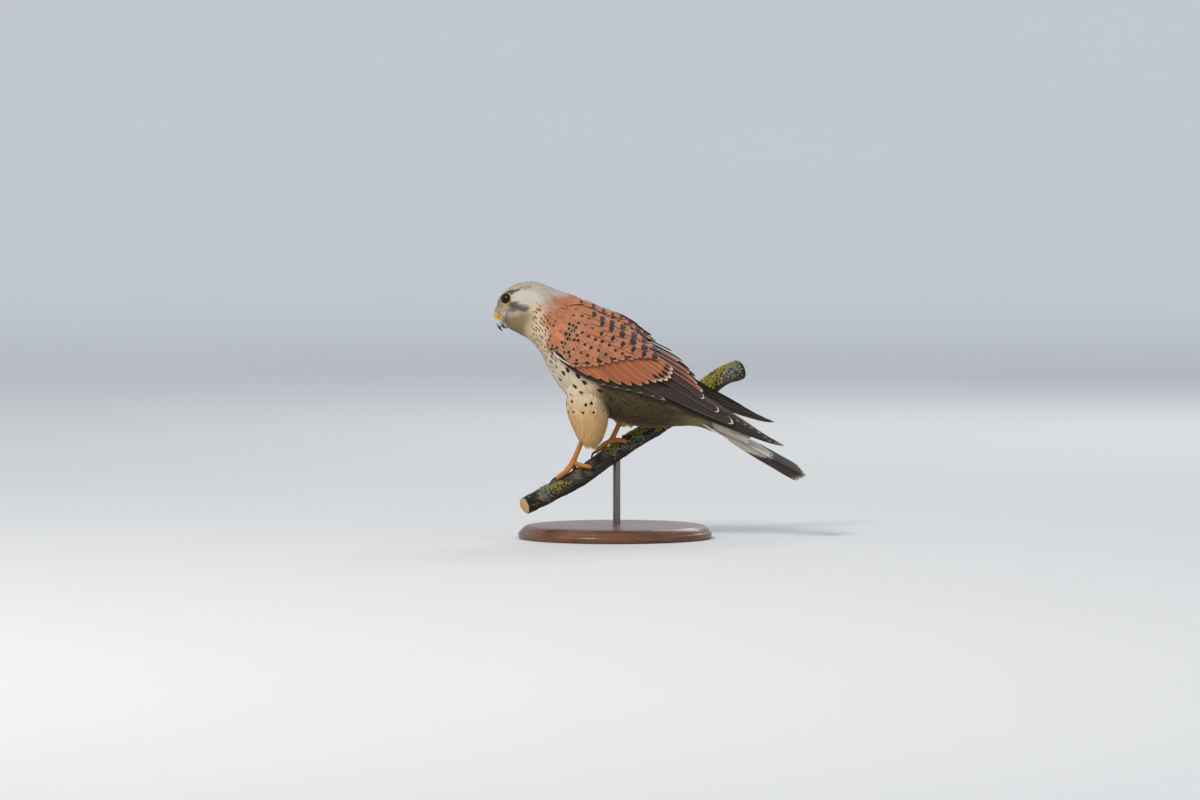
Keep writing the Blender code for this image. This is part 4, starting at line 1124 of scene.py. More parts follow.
def studio_profile():
    """Radius and height of the floor in m: flat, then rising all round in one smooth curve to a low wall."""
    share = np.linspace(0, 1, 40)
    return 0.5 + 15.5 * share, 5.5 * step_up(share, 0.42, 1.0)


class StageOperator(bpy.types.Operator):
    """Pale floor, soft studio lights, pale surroundings and the camera at the photo's angle"""

    bl_idname = "kestrel.stage"
    bl_label = "Stage"

    def execute(self, context):
        scene = context.scene
        scene.view_settings.view_transform = "Standard"
        radius, height = studio_profile()
        turn = circle(FLOOR_AROUND)
        rims = [radius[:, None] * np.cos(turn), radius[:, None] * np.sin(turn), height[:, None] + 0 * turn]
        points = np.concatenate([np.stack(rims, -1).reshape(-1, 3), [(0.0, 0.0, 0.0)]])
        index = np.arange(len(radius) * FLOOR_AROUND).reshape(-1, FLOOR_AROUND)
        after = np.roll(index, -1, 1)
        quads = np.stack([index[:-1], index[1:], after[1:], after[:-1]], -1).reshape(-1, 4)
        middle = np.stack([index[0], after[0], np.full(FLOOR_AROUND, len(points) - 1)], -1)
        # The floor is painted darker towards its middle: painted shade that evens out the key lamp's pool of
        # light and dims the light bounced up under the bird.
        pale = step_up(np.append(np.repeat(radius, FLOOR_AROUND), 0), 0.8, 8.0)
        tint = mixed(tone(206, 207, 208), tone(250, 251, 252), pale)
        finish = finish_material("floor_paint", 0.85, 2.0, 0.04, 0.03)
        ground = mesh_object("floor", points / MM, [quads, middle], finish, {"tint": tint})
        world = bpy.data.worlds.new("studio")
        world.use_nodes = True
        feed(world.node_tree.nodes["Background"], {"Color": (0.86, 0.92, 1.0, 1), "Strength": 0.62})
        scene.world = world
        aim = Vector((0, 0, 0.13))
        for name, place, size, watts, colour in (
            ("key", (-1.5, -1.9, 2.4), 0.9, 74.0, (1.0, 0.95, 0.87)),
            ("fill", (2.2, -1.9, 0.8), 2.0, 7.0, (0.92, 0.96, 1.0)),
            ("rim", (0.9, 2.3, 1.9), 1.4, 22.0, (1.0, 0.98, 0.95)),
        ):
            lamp = bpy.data.lights.new(name, "AREA")
            lamp.size, lamp.energy, lamp.color = size, watts, colour
            self.aimed(scene, name, lamp, Vector(place), aim - Vector(place))
        camera = bpy.data.cameras.new("camera")
        camera.sensor_width = SENSOR
        camera.lens = SENSOR * CAMERA_DISTANCE / VIEW_WIDTH
        camera.clip_end = 200
        rise = math.radians(CAMERA_HEIGHT)
        back = Vector((0, -math.cos(rise), math.sin(rise)))
        seat = Vector(CAMERA_AIM) * MM + back * CAMERA_DISTANCE * MM
        scene.camera = self.aimed(scene, "camera", camera, seat, -back)
        return {"FINISHED"}

    def aimed(self, scene, name, data, seat, look):
        """Puts a lamp or the camera at a point, looking in a direction."""
        holder = bpy.data.objects.new(name, data)
        holder.location = seat
        holder.rotation_euler = look.to_track_quat("-Z", "Y").to_euler()
        scene.collection.objects.link(holder)
        return holder


class SkinOperator(bpy.types.Operator):
    """One closed skin of trunk and thighs, inside the plumage and painted as it is"""

    bl_idname = "kestrel.skin"
    bl_label = "Skin"

    def execute(self, context):
        plumage_material("coat_plumage", 0.85, 0.3, small=True)
        plumage_material("wing_plumage", 0.7, 0.45)
        plumage_material("tail_plumage", 0.85, 0.45)
        finish_material("skin", 0.85, 300.0, 0.5, 0.4)
        place = np.concatenate([np.linspace(0, 6, 130), np.linspace(6, BODY_LAST, 131)[1:]])[:, None]
        turn = np.linspace(-np.pi, np.pi, 144, endpoint=False)[None]
        place, turn = np.broadcast_arrays(place, turn)
        grid = trunk(place, turn, -SKIN_DEPTH)
        body = closed_grid("skin", grid, "skin", trunk_tint(grid, place, turn))
        joins, thigh = [], context.scene.kestrel_plumage.thigh
        for side in ("left", "right"):
            a, b = rings(np.linspace(0, len(THIGHS[side]) - 1.2, 60), 72)
            grid = thigh_surface(side)(a, b, -THIGH_SKIN_DEPTH)
            joins.append(("UNION", closed_grid(f"thigh_{side}_skin", grid, "skin", thigh)))
        for side in ("left", "right"):
            socket = eye_frame(side)[0] + ball(0.02, 32, 48) * (EYE_RADIUS + 0.1)
            joins.append(("DIFFERENCE", closed_grid(f"socket_{side}", socket, "skin", 0.02)))
        for operation, other in joins:
            cut = body.modifiers.new("join", "BOOLEAN")
            cut.operation, cut.object, cut.solver = operation, other, "EXACT"
        mesh = bpy.data.meshes.new_from_object(body.evaluated_get(context.evaluated_depsgraph_get()))
        body.modifiers.clear()
        body.data = mesh
        for _, other in joins:
            bpy.data.objects.remove(other)
        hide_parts("head", "neck", "torso", "thigh_left", "thigh_right")
        return {"FINISHED"}


class HeadCoatOperator(bpy.types.Operator):
    """Small feathers of the face, crown, throat and neck"""

    bl_idname = "kestrel.head_coat"
    bl_label = "Head feathers"

    def execute(self, context):
        fine = context.scene.kestrel_plumage.head_spacing
        pieces = [
            trunk_coat(
                "face_feathers", 0.10, 2.4, lambda p: fine * (0.62 + 0.09 * p), -180, 180,
                lambda p: 2.2 + 0.7 * p, lambda p: 0.33 + 0.06 * p, 21, -0.6, 0.05,
                gap=5.6, shape=SMALL, toss=0.16, close=0.3, bend=1.5,
            ),
            trunk_coat(
                "crown_feathers", 2.2, 5.0, lambda p: fine * (0.60 + 0.10 * p), -180, 180,
                lambda p: 2.3 + 0.85 * p, lambda p: 0.30 + 0.08 * p, 22, -0.6, 0.07,
                shape=SMALL, toss=0.15, close=0.3, bend=1.5,
            ),
            trunk_coat(
                "neck_feathers", 4.8, 6.9, lambda p: fine * (0.40 + 0.17 * p), -180, 180,
                lambda p: 2.2 + 0.95 * p, lambda p: 0.15 + 0.12 * p, 23, -0.7, 0.1,
                toss=0.12, close=0.4, bend=1.7,
            ),
        ]
        for sign, side in ((1, "left"), (-1, "right")):
            low, high = sorted((sign * 40, sign * 122))
            pieces.append(trunk_coat(
                f"shoulder_{side}_feathers", 5.5, 6.9, lambda p: 1.45, low, high,
                lambda p: 4.2 + 0.9 * p, lambda p: 0.80, 24 + sign, -0.3, 1.5,
                curve=0.9, toss=0.12, close=0.4,
            ))
        return {"FINISHED"}


class BodyCoatOperator(bpy.types.Operator):
    """Feathers of the breast, belly, back, rump and under the tail"""

    bl_idname = "kestrel.body_coat"
    bl_label = "Body feathers"

    def execute(self, context):
        space = context.scene.kestrel_plumage.body_spacing
        for name, first, last, low, high, seed, surface in (
            ("back_feathers", 6.5, 13.4, -100, 100, 31, trunk),
            ("flank_left_feathers", 6.6, 13.4, 92, 156, 32, flank),
            ("flank_right_feathers", 6.6, 13.4, -156, -92, 33, flank),
            ("belly_feathers", 6.6, 13.4, 148, 212, 34, trunk),
        ):
            trunk_coat(
                name, first, last, lambda p: space * (0.78 + 0.22 * step_up(p, 6.5, 9)), low, high,
                lambda p: 7.0 + 2.0 * step_up(p, 6.5, 9),
                lambda p: space * (0.50 + 0.14 * step_up(p, 6.5, 9)),
                seed, -0.9, 0.15, surface=surface, toss=0.11,
            )
        trunk_coat(
            "rump_feathers", 12.9, 16.9, lambda p: space * 0.95, -180, 180,
            lambda p: 9.5 + 9 * step_up(p, 15, 16.6), lambda p: space * (0.62 + 0.5 * step_up(p, 15, 16.6)),
            35, -1.3, 0.3, toss=0.08,
        )
        for name, low, high, seed in (("wisps_left", 88, 150, 36), ("wisps_right", -150, -88, 37)):
            trunk_coat(
                name, 6.8, 13.2, lambda p: space * 1.15, low, high, lambda p: 6.5, lambda p: 0.26,
                seed, -0.2, 0.75, surface=flank, shape=STRAND, toss=0.3,
            )
        return {"FINISHED"}


class ThighOperator(bpy.types.Operator):
    """Long soft feathers of the thighs, looser at the rear edge"""

    bl_idname = "kestrel.thighs"
    bl_label = "Thigh feathers"

    def execute(self, context):
        birds = context.scene.kestrel_plumage

        def paint(points, place, turn):
            """The breast's colour with drops at the top, the thigh's below, and behind it the belly's
            darkened colour as painted shade.
            """
            x, z = points[..., 0], points[..., 2]
            share = 0.25 + 0.75 * step_up(z + 3 * ripple(x * 0.3, z * 0.2, 48), 134, 108)
            # At the thigh's rear edge the belly's darkened colour is mixed in: painted shade where the wing's
            # shadow falls.
            rear = step_up(np.cos(turn), 0.2, 0.9) * step_up(z, 112, 132)
            spots = 0.95 * step_up(z, 112, 120) * (1 - rear)
            tint = mixed(mixed(birds.breast, birds.thigh, share), birds.belly, 0.8 * rear)
            return tint, np.stack([0 * spots, spots, 0 * spots], axis=-1)

        for seed, side in enumerate(("left", "right")):
            surface, last = thigh_surface(side), len(THIGHS[side]) - 1
            for name, start, space, width, length, low, high, shape, toss in (
                ("feathers", 0.5, 1.7, 1.15, 10.5, -0.9, 0.2, SOFT, 0.14),
                ("wisps", 0.5, 2.0, 0.28, 9.5, -0.4, 0.8, STRAND, 0.28),
            ):
                roots = staggered_roots(
                    surface, start, last - 0.8, lambda p: space, 0, 2 * math.pi, 41 + seed
                )
                down = roots[:, 0] / last
                rear = np.clip(np.cos(roots[:, 1]), 0, 1) ** 2 * step_up(down, 0.2, 0.5)
                piece = coat(
                    f"thigh_{side}_{name}", surface, roots, length * (1.05 - 0.5 * down),
                    width * (1.1 - 0.35 * down), low, high + 2.2 * rear, paint, (0, last, 0, 2 * math.pi),
                    46 + seed,
                    shape=shape, outward=-1.0, last=last, curve=0.7, stretch=(14.0, 12.0), toss=toss,
                )
        return {"FINISHED"}


# Tiers of the folded wing: how many vanes, their tilt, and knots from the first vane to the last, each with
# the root (along, across), the tip (along, across), the heights at root and tip, and the half width.
WING_TIERS = {
    "primaries": (10, 3, [
        (3.6, 0.50, 7.15, 0.62, -3.4, -1.4, 5.6), (3.3, 0.62, 7.75, 0.42, -3.9, -2.2, 6.2),
        (3.1, 0.72, 8.30, 0.32, -4.6, -3.0, 6.4), (2.8, 0.84, 8.70, 0.55, -5.8, -4.2, 5.6),
        (2.6, 0.94, 8.95, 0.86, -7.2, -5.6, 4.6),
    ]),
    "secondaries": (3, 6, [
        (2.5, 0.90, 7.24, 0.74, -3.8, -1.0, 6.2), (2.4, 0.66, 6.66, 0.60, -3.4, -0.4, 6.8),
        (2.3, 0.44, 6.05, 0.50, -3.0, 0.3, 7.0),
    ]),
    "tertials": (4, 8, [
        (2.3, 0.38, 5.95, 0.34, -3.0, 1.0, 6.4), (2.2, 0.22, 5.55, 0.20, -3.0, 1.6, 6.8),
        (2.2, 0.12, 4.85, 0.06, -3.0, 2.2, 6.8),
    ]),
    "primary_coverts": (6, 8, [
        (0.9, 0.99, 2.9, 1.03, -3.6, -1.4, 3.0), (1.5, 0.97, 4.6, 0.93, -3.6, -0.9, 3.8),
    ]),
    "greater_coverts": (13, 9, [
        (0.9, 0.86, 2.30, 0.99, -3.0, 0.3, 3.4), (1.5, 0.74, 3.10, 0.97, -2.8, 0.9, 4.0),
        (2.0, 0.62, 3.75, 0.89, -2.6, 1.4, 4.3), (2.4, 0.50, 4.20, 0.74, -2.5, 1.7, 4.6),
        (2.7, 0.40, 4.52, 0.60, -2.4, 1.9, 4.8), (2.9, 0.26, 4.62, 0.40, -2.4, 2.2, 5.0),
    ]),
    "median_coverts": (11, 9, [
        (0.8, 0.82, 1.80, 0.98, -2.4, 1.6, 3.7), (1.5, 0.68, 2.60, 0.80, -2.2, 2.3, 4.0),
        (2.3, 0.44, 3.50, 0.54, -2.2, 2.7, 4.3),
    ]),
}


def wing_side(side):
    """A wing's outer face and the sign that turns its normals out."""
    return wing_surface(side == "right"), -1.0 if side == "right" else 1.0


def wing_tier(kind, side, seed):
    """One tier of long vanes along the wing, spread by its knots from the first vane to the last."""
    rng = np.random.default_rng(seed)
    surface, outward = wing_side(side)
    flight = kind in ("primaries", "secondaries", "tertials")
    shape, narrow = (FLIGHT, 0.55) if flight else (COVERT, 0.85)
    stations, across = shape
    count, tilt, knots = WING_TIERS[kind]
    q = np.linspace(0, 1, count)
    row = along(knots, q * (len(knots) - 1))
    row[:, 2] += rng.uniform(-0.03, 0.03, count)
    widest = row[:, 6] * rng.uniform(0.96, 1.04, count)
    a = row[:, 0:1] + (row[:, 2:3] - row[:, 0:1]) * stations
    b = row[:, 1:2] + (row[:, 3:4] - row[:, 1:2]) * stations
    normals = surface_normal(surface, a, b, outward, WING_LAST)
    rise = row[:, 4:5] + (row[:, 5:6] - row[:, 4:5]) * stations**0.7
    centres = surface(a, b) + normals * rise[..., None]
    length = np.linalg.norm(np.diff(centres, axis=1), axis=-1).sum(1)
    shut = pointed(stations, 0.86 if kind == "primaries" else 0.93) if flight else rounded(stations, tip=0.12)
    half = widest[:, None] * shut
    outer, inner = (half, half * narrow) if outward < 0 else (half * narrow, half)
    lean = np.full(count, tilt * outward)
    points, normal, reach = vane_grid(centres, normals, outer, inner, across, lean, 0.08 * widest)
    return feather_object(
        f"wing_{side}_{kind}", points, normal, reach, length, shape, WING_THICK, wing_looks(kind, count, q),
        own_patches(count), "wing_plumage",
    )


def wing_looks(kind, count, q):
    """The colours and marks of a tier, from its first vane, lowest on the wing, to its last."""
    birds = bpy.context.scene.kestrel_plumage
    back, flight = np.array(birds.back), np.array(birds.flight)
    deep = back * np.array(birds.covert_shade)
    colour, mark, trim = {
        "primaries": (flight * 0.8, (0, 0, 0), (0.22, 0.02, 0.08)),
        "secondaries": (flight * 1.2, (0, 0, 0), (0.8, 0.022, 0.16)),
        "tertials": (deep, (0.42, 0.26, 0.66), (0.6, 0.03, 0.2)),
        "primary_coverts": (flight, (0, 0, 0), (0.3, 0.04, 0.1)),
        "greater_coverts": (deep, (0, 0, 0), (0.12, 0.05, 0.15)),
        "median_coverts": (back * 0.97, (0.95, 0.10, 0.85), (0.16, 0.07, 0.10)),
    }[kind]
    made = plain_looks(np.tile(colour, (count, 1)), mark, trim)
    if kind == "greater_coverts":
        made["tint"] = mixed(deep, back, 0.2 + 0.3 * q)
        made["mark"][q > 0.62] = (0.80, 0.06, 0.88)
        made["trim"][:, 0] += 0.6 * step_up(q, 0.45, 0.7)
    if kind == "median_coverts":
        made["mark"][::2, 0] = 0.0
    made["tint"] = varied(made["tint"], 50 + len(kind), 0.10)
    return made


def lesser_coverts(side, seed):
    """Small coverts over the front of the wing, scale-like at the wrist, with a spot on every fourth."""
    birds = bpy.context.scene.kestrel_plumage
    surface, outward = wing_side(side)
    roots = staggered_roots(surface, 0.0, 3.3, lambda p: 3.5 + 0.25 * p, 0.02, 1.04, seed)
    limit = np.minimum(1.75 + (0.98 - roots[:, 1]) / 0.26, 3.6) - 0.62
    low_limit = 1.04 - 0.12 * step_up(roots[:, 0], 0.25, 0.6)
    roots = roots[(roots[:, 0] < limit) & (roots[:, 1] < low_limit)]
    a, b, row, column = roots.T
    count = len(roots)
    rng = np.random.default_rng(seed)
    wrist = step_up(a, 1.5, 0.7) * step_up(b, 0.3, 0.55)
    spot = np.where((row % 2 == 0) & (column % 2 == 0), 1.0, 0.0) * (rng.random(count) < 0.96)
    spot = np.maximum(spot, (wrist > 0.4) * (rng.random(count) < 0.55))
    spot = spot * rng.uniform(0.85, 1.2, count)
    looks = plain_looks(varied(np.tile(birds.back, (count, 1)), seed, 0.12), trim=(0.10, 0.12, 0.20))
    half_wide, half_long = (0.64 + 0.1 * wrist) * spot, (0.155 + 0.04 * wrist) * spot
    looks["mark"] = np.stack([half_wide, half_long, np.full(count, 0.80)], axis=1)
    looks["trim"][:, 0] += 0.15 * wrist
    stations, across = CONTOUR
    length = 7.5 + 1.4 * a + rng.uniform(-0.5, 0.5, count)
    close = step_up(a, 1.2, 0.4) * step_up(b, 0.84, 0.98)
    front = np.maximum(step_up(a, 0.75, 0.0), 0.8 * close)
    low, high = 0.4 - 4.6 * front, 2.1 - 3.8 * front - 0.3 * close + 0.15 * a
    swing = 0.10 + 0.22 * b
    centres, normals = lie(surface, roots, length, swing, stations, low, high, outward, WING_LAST, curve=0.6)
    half = (2.45 + 0.22 * a)[:, None] * rounded(stations, tip=0.15)
    lean = rng.normal(0, 1.5, count)
    points, normal, reach = vane_grid(centres, normals, half, half, across, lean, 0.12 * half.max(1))
    return feather_object(
        f"wing_{side}_lesser_coverts", points, normal, reach, length, CONTOUR, LESSER_THICK, looks,
        root_patches(roots, 0, 4, 0, 1.1), "wing_plumage",
    )


# Tips (along, across) of the first and last scapular of each row, how many, and the size of their spots.
SCAPULAR_ROWS = (
    ((2.30, 0.45), (3.75, 0.46), 5, 0.35), ((2.15, 0.30), (4.12, 0.37), 6, 1.0),
    ((1.70, 0.20), (4.08, 0.19), 7, 1.0), ((2.70, 0.01), (3.95, -0.03), 5, 0.8),
    ((1.2, 0.07), (2.4, 0.02), 4, 0.4),
)


def scapulars(side, seed):
    """Rows of large shoulder feathers over the upper part of the wing, with bold spots and pale tips."""
    birds = bpy.context.scene.kestrel_plumage
    surface, outward = wing_side(side)
    stations, across = COVERT
    tips, size = [], []
    for first, last, count, bold in SCAPULAR_ROWS:
        share = np.linspace(0, 1, count)[:, None]
        tips.append(np.array(first) + (np.array(last) - first) * share)
        size.append(bold * (0.55 + 0.45 * step_up(share[:, 0], 0.0, 0.45)))
    tips, size = np.concatenate(tips), np.concatenate(size)
    rng = np.random.default_rng(seed)
    count = len(tips)
    roots = tips - [0.82, 0.03] + rng.uniform(-0.02, 0.02, tips.shape)
    length = 19.0 + 1.2 * tips[:, 0] + rng.uniform(-0.6, 0.6, count)
    swing, low = np.full(count, 0.03), np.full(count, 0.4)
    high = 3.4 + 0.5 * step_up(tips[:, 1], 0.35, 0.0)
    centres, normals = lie(surface, roots, length, swing, stations, low, high, outward, WING_LAST, curve=0.7)
    half = (4.3 + 0.5 * tips[:, 0])[:, None] * rounded(stations, tip=0.12)
    lean = np.full(count, 5.0 * outward)
    points, normal, reach = vane_grid(centres, normals, half, half, across, lean, np.full(count, 0.5))
    looks = {
        "tint": varied(np.tile(np.array(birds.back) * 1.02, (count, 1)), seed, 0.05),
        "mark": np.stack([0.60 + 1.05 * size, 0.055 + 0.085 * size, 0.85 - 0.02 * size], axis=1),
        "trim": np.stack([0.10 + 0.20 * size, np.full(count, 0.05), 0.08 * size], axis=1),
    }
    return feather_object(
        f"wing_{side}_scapulars", points, normal, reach, length, COVERT, WING_THICK, looks,
        own_patches(count), "wing_plumage",
    )


def wing_arm(side):
    """The arm and hand under the feathers: a closed slab along the wing's outer face, thinner at its rim."""
    birds = bpy.context.scene.kestrel_plumage
    surface, outward = wing_side(side)
    last = 4.1
    place = np.linspace(0, last, 60)[:, None]
    rim = np.minimum(1.0, 0.45 + place * 0.9) * np.minimum(1.0, 0.5 + (last - place) * 0.5)
    across = 0.02 + (0.96 - 0.03 * place) * np.linspace(0, 1, 24)
    hollow = np.sin(np.pi * across) ** 0.5
    spread = np.broadcast_to(place, across.shape)
    normals = surface_normal(surface, spread, across, outward, WING_LAST)
    flat = surface(spread, across)
    sunk = 3.6 * step_up(place, 1.0, 0.0) + 1.6 * step_up(place, 2.2, 3.4)
    outer = flat - normals * (1.0 + 0.8 * (1 - hollow) + sunk)[..., None]
    inner = flat - normals * (2.4 + 8.6 * hollow * rim + sunk)[..., None]
    grid = np.concatenate([outer, inner[:, ::-1]], axis=1)
    tint = mixed(np.array(birds.back) * 0.7, birds.flight, step_up(np.hstack([spread, spread]), 2.6, 3.4))
    return closed_grid(f"wing_{side}_arm", grid, "skin", tint)


class WingOperator(bpy.types.Operator):
    """Both folded wings, tier over tier: flight feathers, coverts and the shoulder's feathers"""

    bl_idname = "kestrel.wings"
    bl_label = "Wings"

    def execute(self, context):
        white = context.scene.kestrel_plumage.fringe
        for seed, side in ((60, "left"), (70, "right")):
            share, (surface, outward) = np.linspace(0, 1, 60), wing_side(side)
            a, b = 0.62 + 1.03 * share, 1.02 - 0.035 * step_up(share, 0.0, 0.6)
            lift = 1.4 - 4.6 * step_up(share, 0.6, 0.0) - 1.6 * step_up(share, 0.10, 0.0)
            line = surface(a, b) + lift[:, None] * surface_normal(surface, a, b, outward, WING_LAST)
            radii = 0.1 + 0.5 * np.sin(np.pi * share) ** 0.5
            edge = tube(f"wing_{side}_edge", line, radii, "skin", 12, tint=white)
            arm = wing_arm(side)
            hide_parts("wing_" + side)
            made = [arm, edge, lesser_coverts(side, seed), scapulars(side, seed + 1)]
            made += [wing_tier(kind, side, seed + 2 + k) for k, kind in enumerate(WING_TIERS)]
        return {"FINISHED"}


def tail_frame():
    """The tail's direction, the side to the bird's left and the normal of its upper face."""
    drop, roll = math.radians(TAIL_DROP), math.radians(TAIL_ROLL)
    ahead = np.array([math.cos(drop), 0, -math.sin(drop)])
    flat = np.array([math.sin(drop), 0, math.cos(drop)])
    left = np.array([0.0, -1.0, 0.0])
    return ahead, left * math.cos(roll) - flat * math.sin(roll), flat * math.cos(roll) + left * math.sin(roll)


class TailOperator(bpy.types.Operator):
    """Twelve tail feathers in layers, the outermost pair with a white outer web"""

    bl_idname = "kestrel.tail"
    bl_label = "Tail"

    def execute(self, context):
        birds = context.scene.kestrel_plumage
        ahead, left, normal = tail_frame()
        stations, across = FLIGHT
        pair = np.repeat(np.arange(TAIL_PAIRS), 2)
        sign = np.tile([1.0, -1.0], TAIL_PAIRS)
        count = len(pair)
        fan = np.radians(0.6 + TAIL_FAN * pair) * sign
        heading = ahead * np.cos(fan)[:, None] + left * np.sin(fan)[:, None]
        length = TAIL_LENGTH - TAIL_STEP * pair + np.tile([1.2, -0.8], TAIL_PAIRS)
        layer = np.where((pair > 0) | (sign < 0), -TAIL_LAYER * pair, TAIL_LAYER)
        beside = 1.0 + 1.15 * pair
        last = pair == TAIL_PAIRS - 1
        start = np.where(last, OUTER_START, 0.0)
        root = np.array(TAIL_ROOT) + left * (beside * sign)[:, None] + normal * (layer + 1.5)[:, None]
        down = start[:, None] + (length - start)[:, None] * stations
        centres = root[:, None] + down[..., None] * heading[:, None]
        aside = last[:, None] * np.clip(1 - (down - OUTER_START) / OUTER_MERGE, 0, 1) ** 1.5 * sign[:, None]
        aside = aside * (2.0 + 7.0 * step_up(down, OUTER_START, OUTER_START / 2))
        centres = centres + aside[..., None] * [0.0, -1.0, 0.05] - (stations**2 * 1.5)[:, None] * normal
        shape = pointed(stations, 0.87, 0.55)
        outer = shape * np.where(last, 4.2, 6.2)[:, None]
        inner = shape * np.where(pair > 0, 11.0, 7.5)[:, None]
        offset = beside[:, None] + down * np.sin(np.abs(fan))[:, None]
        inner = np.where(pair[:, None] > 0, np.minimum(inner, offset - 0.2), inner)
        left_side = sign[:, None] > 0
        on_left, on_right = np.where(left_side, outer, inner), np.where(left_side, inner, outer)
        normals = np.broadcast_to(normal, centres.shape)
        points, made, reach = vane_grid(
            centres, normals, on_left, on_right, across, np.zeros(count), np.full(count, 0.35)
        )
        tint = np.tile(birds.tail, (count, len(stations), len(across), 1))
        band = np.array([0.60, 0.57, 0.52, 0.47, 0.40, 0.45])[pair]
        mark = np.stack([9.0 + 0 * band, (0.975 - band) / 2, (0.975 + band) / 2], axis=1)
        mark = np.tile(mark[:, None, None], (1, len(stations), len(across), 1))
        outer_web = last[:, None] & np.where(left_side, across > 0.2, across < -0.2)
        outer_web = np.broadcast_to(outer_web[:, None], tint.shape[:3])
        tint[outer_web] = mixed(birds.fringe, (1.0, 1.0, 1.0), 0.6)
        mark[outer_web, 1] = 0.0
        trim = np.tile([0.12, 0.015, 0.0], (count, 1))
        looks = {"tint": varied(tint, 81, 0.04), "mark": mark, "trim": trim}
        piece = feather_object(
            "tail_feathers", points, made, reach, length - start, FLIGHT, TAIL_THICK, looks,
            own_patches(count), "tail_plumage",
        )
        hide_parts("tail")
        return {"FINISHED"}


def bill_point(rows, place, turn, grow=0.0):
    """A point of a mandible: an oval carried from its root to its tip, the angle counted from its top."""
    row = along(rows, place)
    return section_point(row[..., 0:2], row[..., 2:4], 0.5, row[..., 4:5] + grow, -8.0, turn)


def rooted(grid, far):
    """Rings of a mandible with one more before them, further back in the head."""
    return np.concatenate([grid[:1] + unit(grid[0].mean(0) - grid[4].mean(0)) * far, grid])


class BillOperator(bpy.types.Operator):
    """Hooked bill with its cere, nostrils, the corner of the mouth and the bristles at its root"""

    bl_idname = "kestrel.bill"
    bl_label = "Bill"

    def execute(self, context):
        parts, birds = context.scene.kestrel_parts, context.scene.kestrel_plumage
        finish_material("bill_horn", 0.38, 500.0, 0.50, 0.25, coat=0.12)
        pieces = [self.upper(parts, birds), self.lower(parts)]
        for sign, side in ((1, "left"), (-1, "right")):
            share = np.linspace(0, 1, 40)
            lip = trunk(1.60 * share, np.radians(sign * (124 - 27 * share)), 0.02)
            tint = np.array(parts.cere) * [0.30, 0.16, 0.3]
            pieces.append(tube("gape_" + side, lip, 0.34 - 0.16 * share, "bill_horn", 16, tint=tint))
        pieces.append(self.bristles(birds))
        return {"FINISHED"}

    def upper(self, parts, birds):
        """The upper mandible: the cere swells behind its edge, and a tooth breaks the cutting edge."""
        place, turn = rings(np.linspace(0, len(UPPER_BILL) - 1, 130), 96)
        edge = CERE_END + 0.70 * np.cos(turn) - 0.10 * np.cos(2 * turn)
        grid = bill_point(UPPER_BILL, place, turn)
        swell = 0.05 * step_up(place, edge + 0.07, edge - 0.07)
        grid = grid + (grid - grid.mean(1, keepdims=True)) * swell[..., None]
        middle = grid.mean(1, keepdims=True)
        hole = np.zeros(place.shape)
        for sign in (1, -1):
            spot = bill_point(UPPER_BILL, np.array([NOSTRIL_PLACE]), np.array([sign * NOSTRIL_TURN]))
            away = np.linalg.norm(grid - spot, axis=-1)
            hole = np.maximum(hole, step_up(away, NOSTRIL_RADIUS * 1.25, NOSTRIL_RADIUS * 0.6))
        grid = grid + (middle - grid) * (0.22 * hole)[..., None]
        tooth = np.exp(-(((place - 3.25) / 0.16) ** 2)) - 0.8 * np.exp(-(((place - 3.65) / 0.16) ** 2))
        grid = grid + (grid - middle) * (0.22 * tooth * step_up(np.cos(turn), -0.4, -0.9))[..., None]
        place, hole, turn, edge = (np.vstack([v[:1], v]) for v in (place, hole, turn, edge))
        brim = (turn + np.pi) % (2 * np.pi) - np.pi
        tint = mixed(parts.horn, parts.horn_tip, step_up(place + 0.3 * np.cos(turn), 2.7, 3.7))
        tint = mixed(tint, parts.cere, step_up(place, edge + 0.1, edge - 0.1))
        tint = mixed(tint, (0.05, 0.03, 0.02), hole)
        tint = mixed(tint, np.array(birds.forehead) * 0.5, step_up(place + 0.20 * brim**2, 0.66, 0.5))
        piece = closed_grid("bill_upper_horn", rooted(grid, 4.0), "bill_horn", tint)
        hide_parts("bill_upper")
        return piece

    def lower(self, parts):
        """The lower mandible."""
        place, turn = rings(np.linspace(0, len(LOWER_BILL) - 1, 60), 64)
        grid = rooted(bill_point(LOWER_BILL, place, turn), 3.0)
        place = np.vstack([place[:1], place])
        tint = mixed(np.array(parts.cere) * 0.7, np.array(parts.horn) * 0.6, step_up(place, 0.1, 0.7))
        tint = mixed(tint, parts.horn_tip, step_up(place, 0.7, 1.5))
        piece = closed_grid("bill_lower_horn", grid, "bill_horn", tint)
        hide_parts("bill_lower")
        return piece

    def bristles(self, birds):
        """Bristles over the bill's root."""

        def brow(a, b):
            """The bill's root read backwards and on into the head, so that they lie towards the forehead."""
            place = 0.95 - np.asarray(a)
            points = bill_point(UPPER_BILL, np.clip(place, 0, 5), np.asarray(b), 0.3)
            return points + np.maximum(-place, 0)[..., None] * np.array([1.8, 0, 3.6])

        def paint(points, a, b):
            """The forehead's colour, a little darker."""
            return mixed(np.array(birds.forehead) * 0.8, birds.mask, 0.2 + 0 * a), 0 * points

        rng = np.random.default_rng(26)
        roots = np.stack([rng.uniform(0, 1.75, BRISTLES), rng.uniform(-1.9, 1.9, BRISTLES)], axis=1)
        limit = 0.36 + 0.20 * roots[:, 1] ** 2 + rng.uniform(-0.12, 0.12, BRISTLES)
        return coat(
            "forehead_bristles", brow, roots[roots[:, 0] > limit], 1.9, 0.34, 0.1, 0.45, paint,
            (0, 1, -2, 2), 27, shape=SMALL, toss=0.25, close=0.3, bend=1.5,
        )


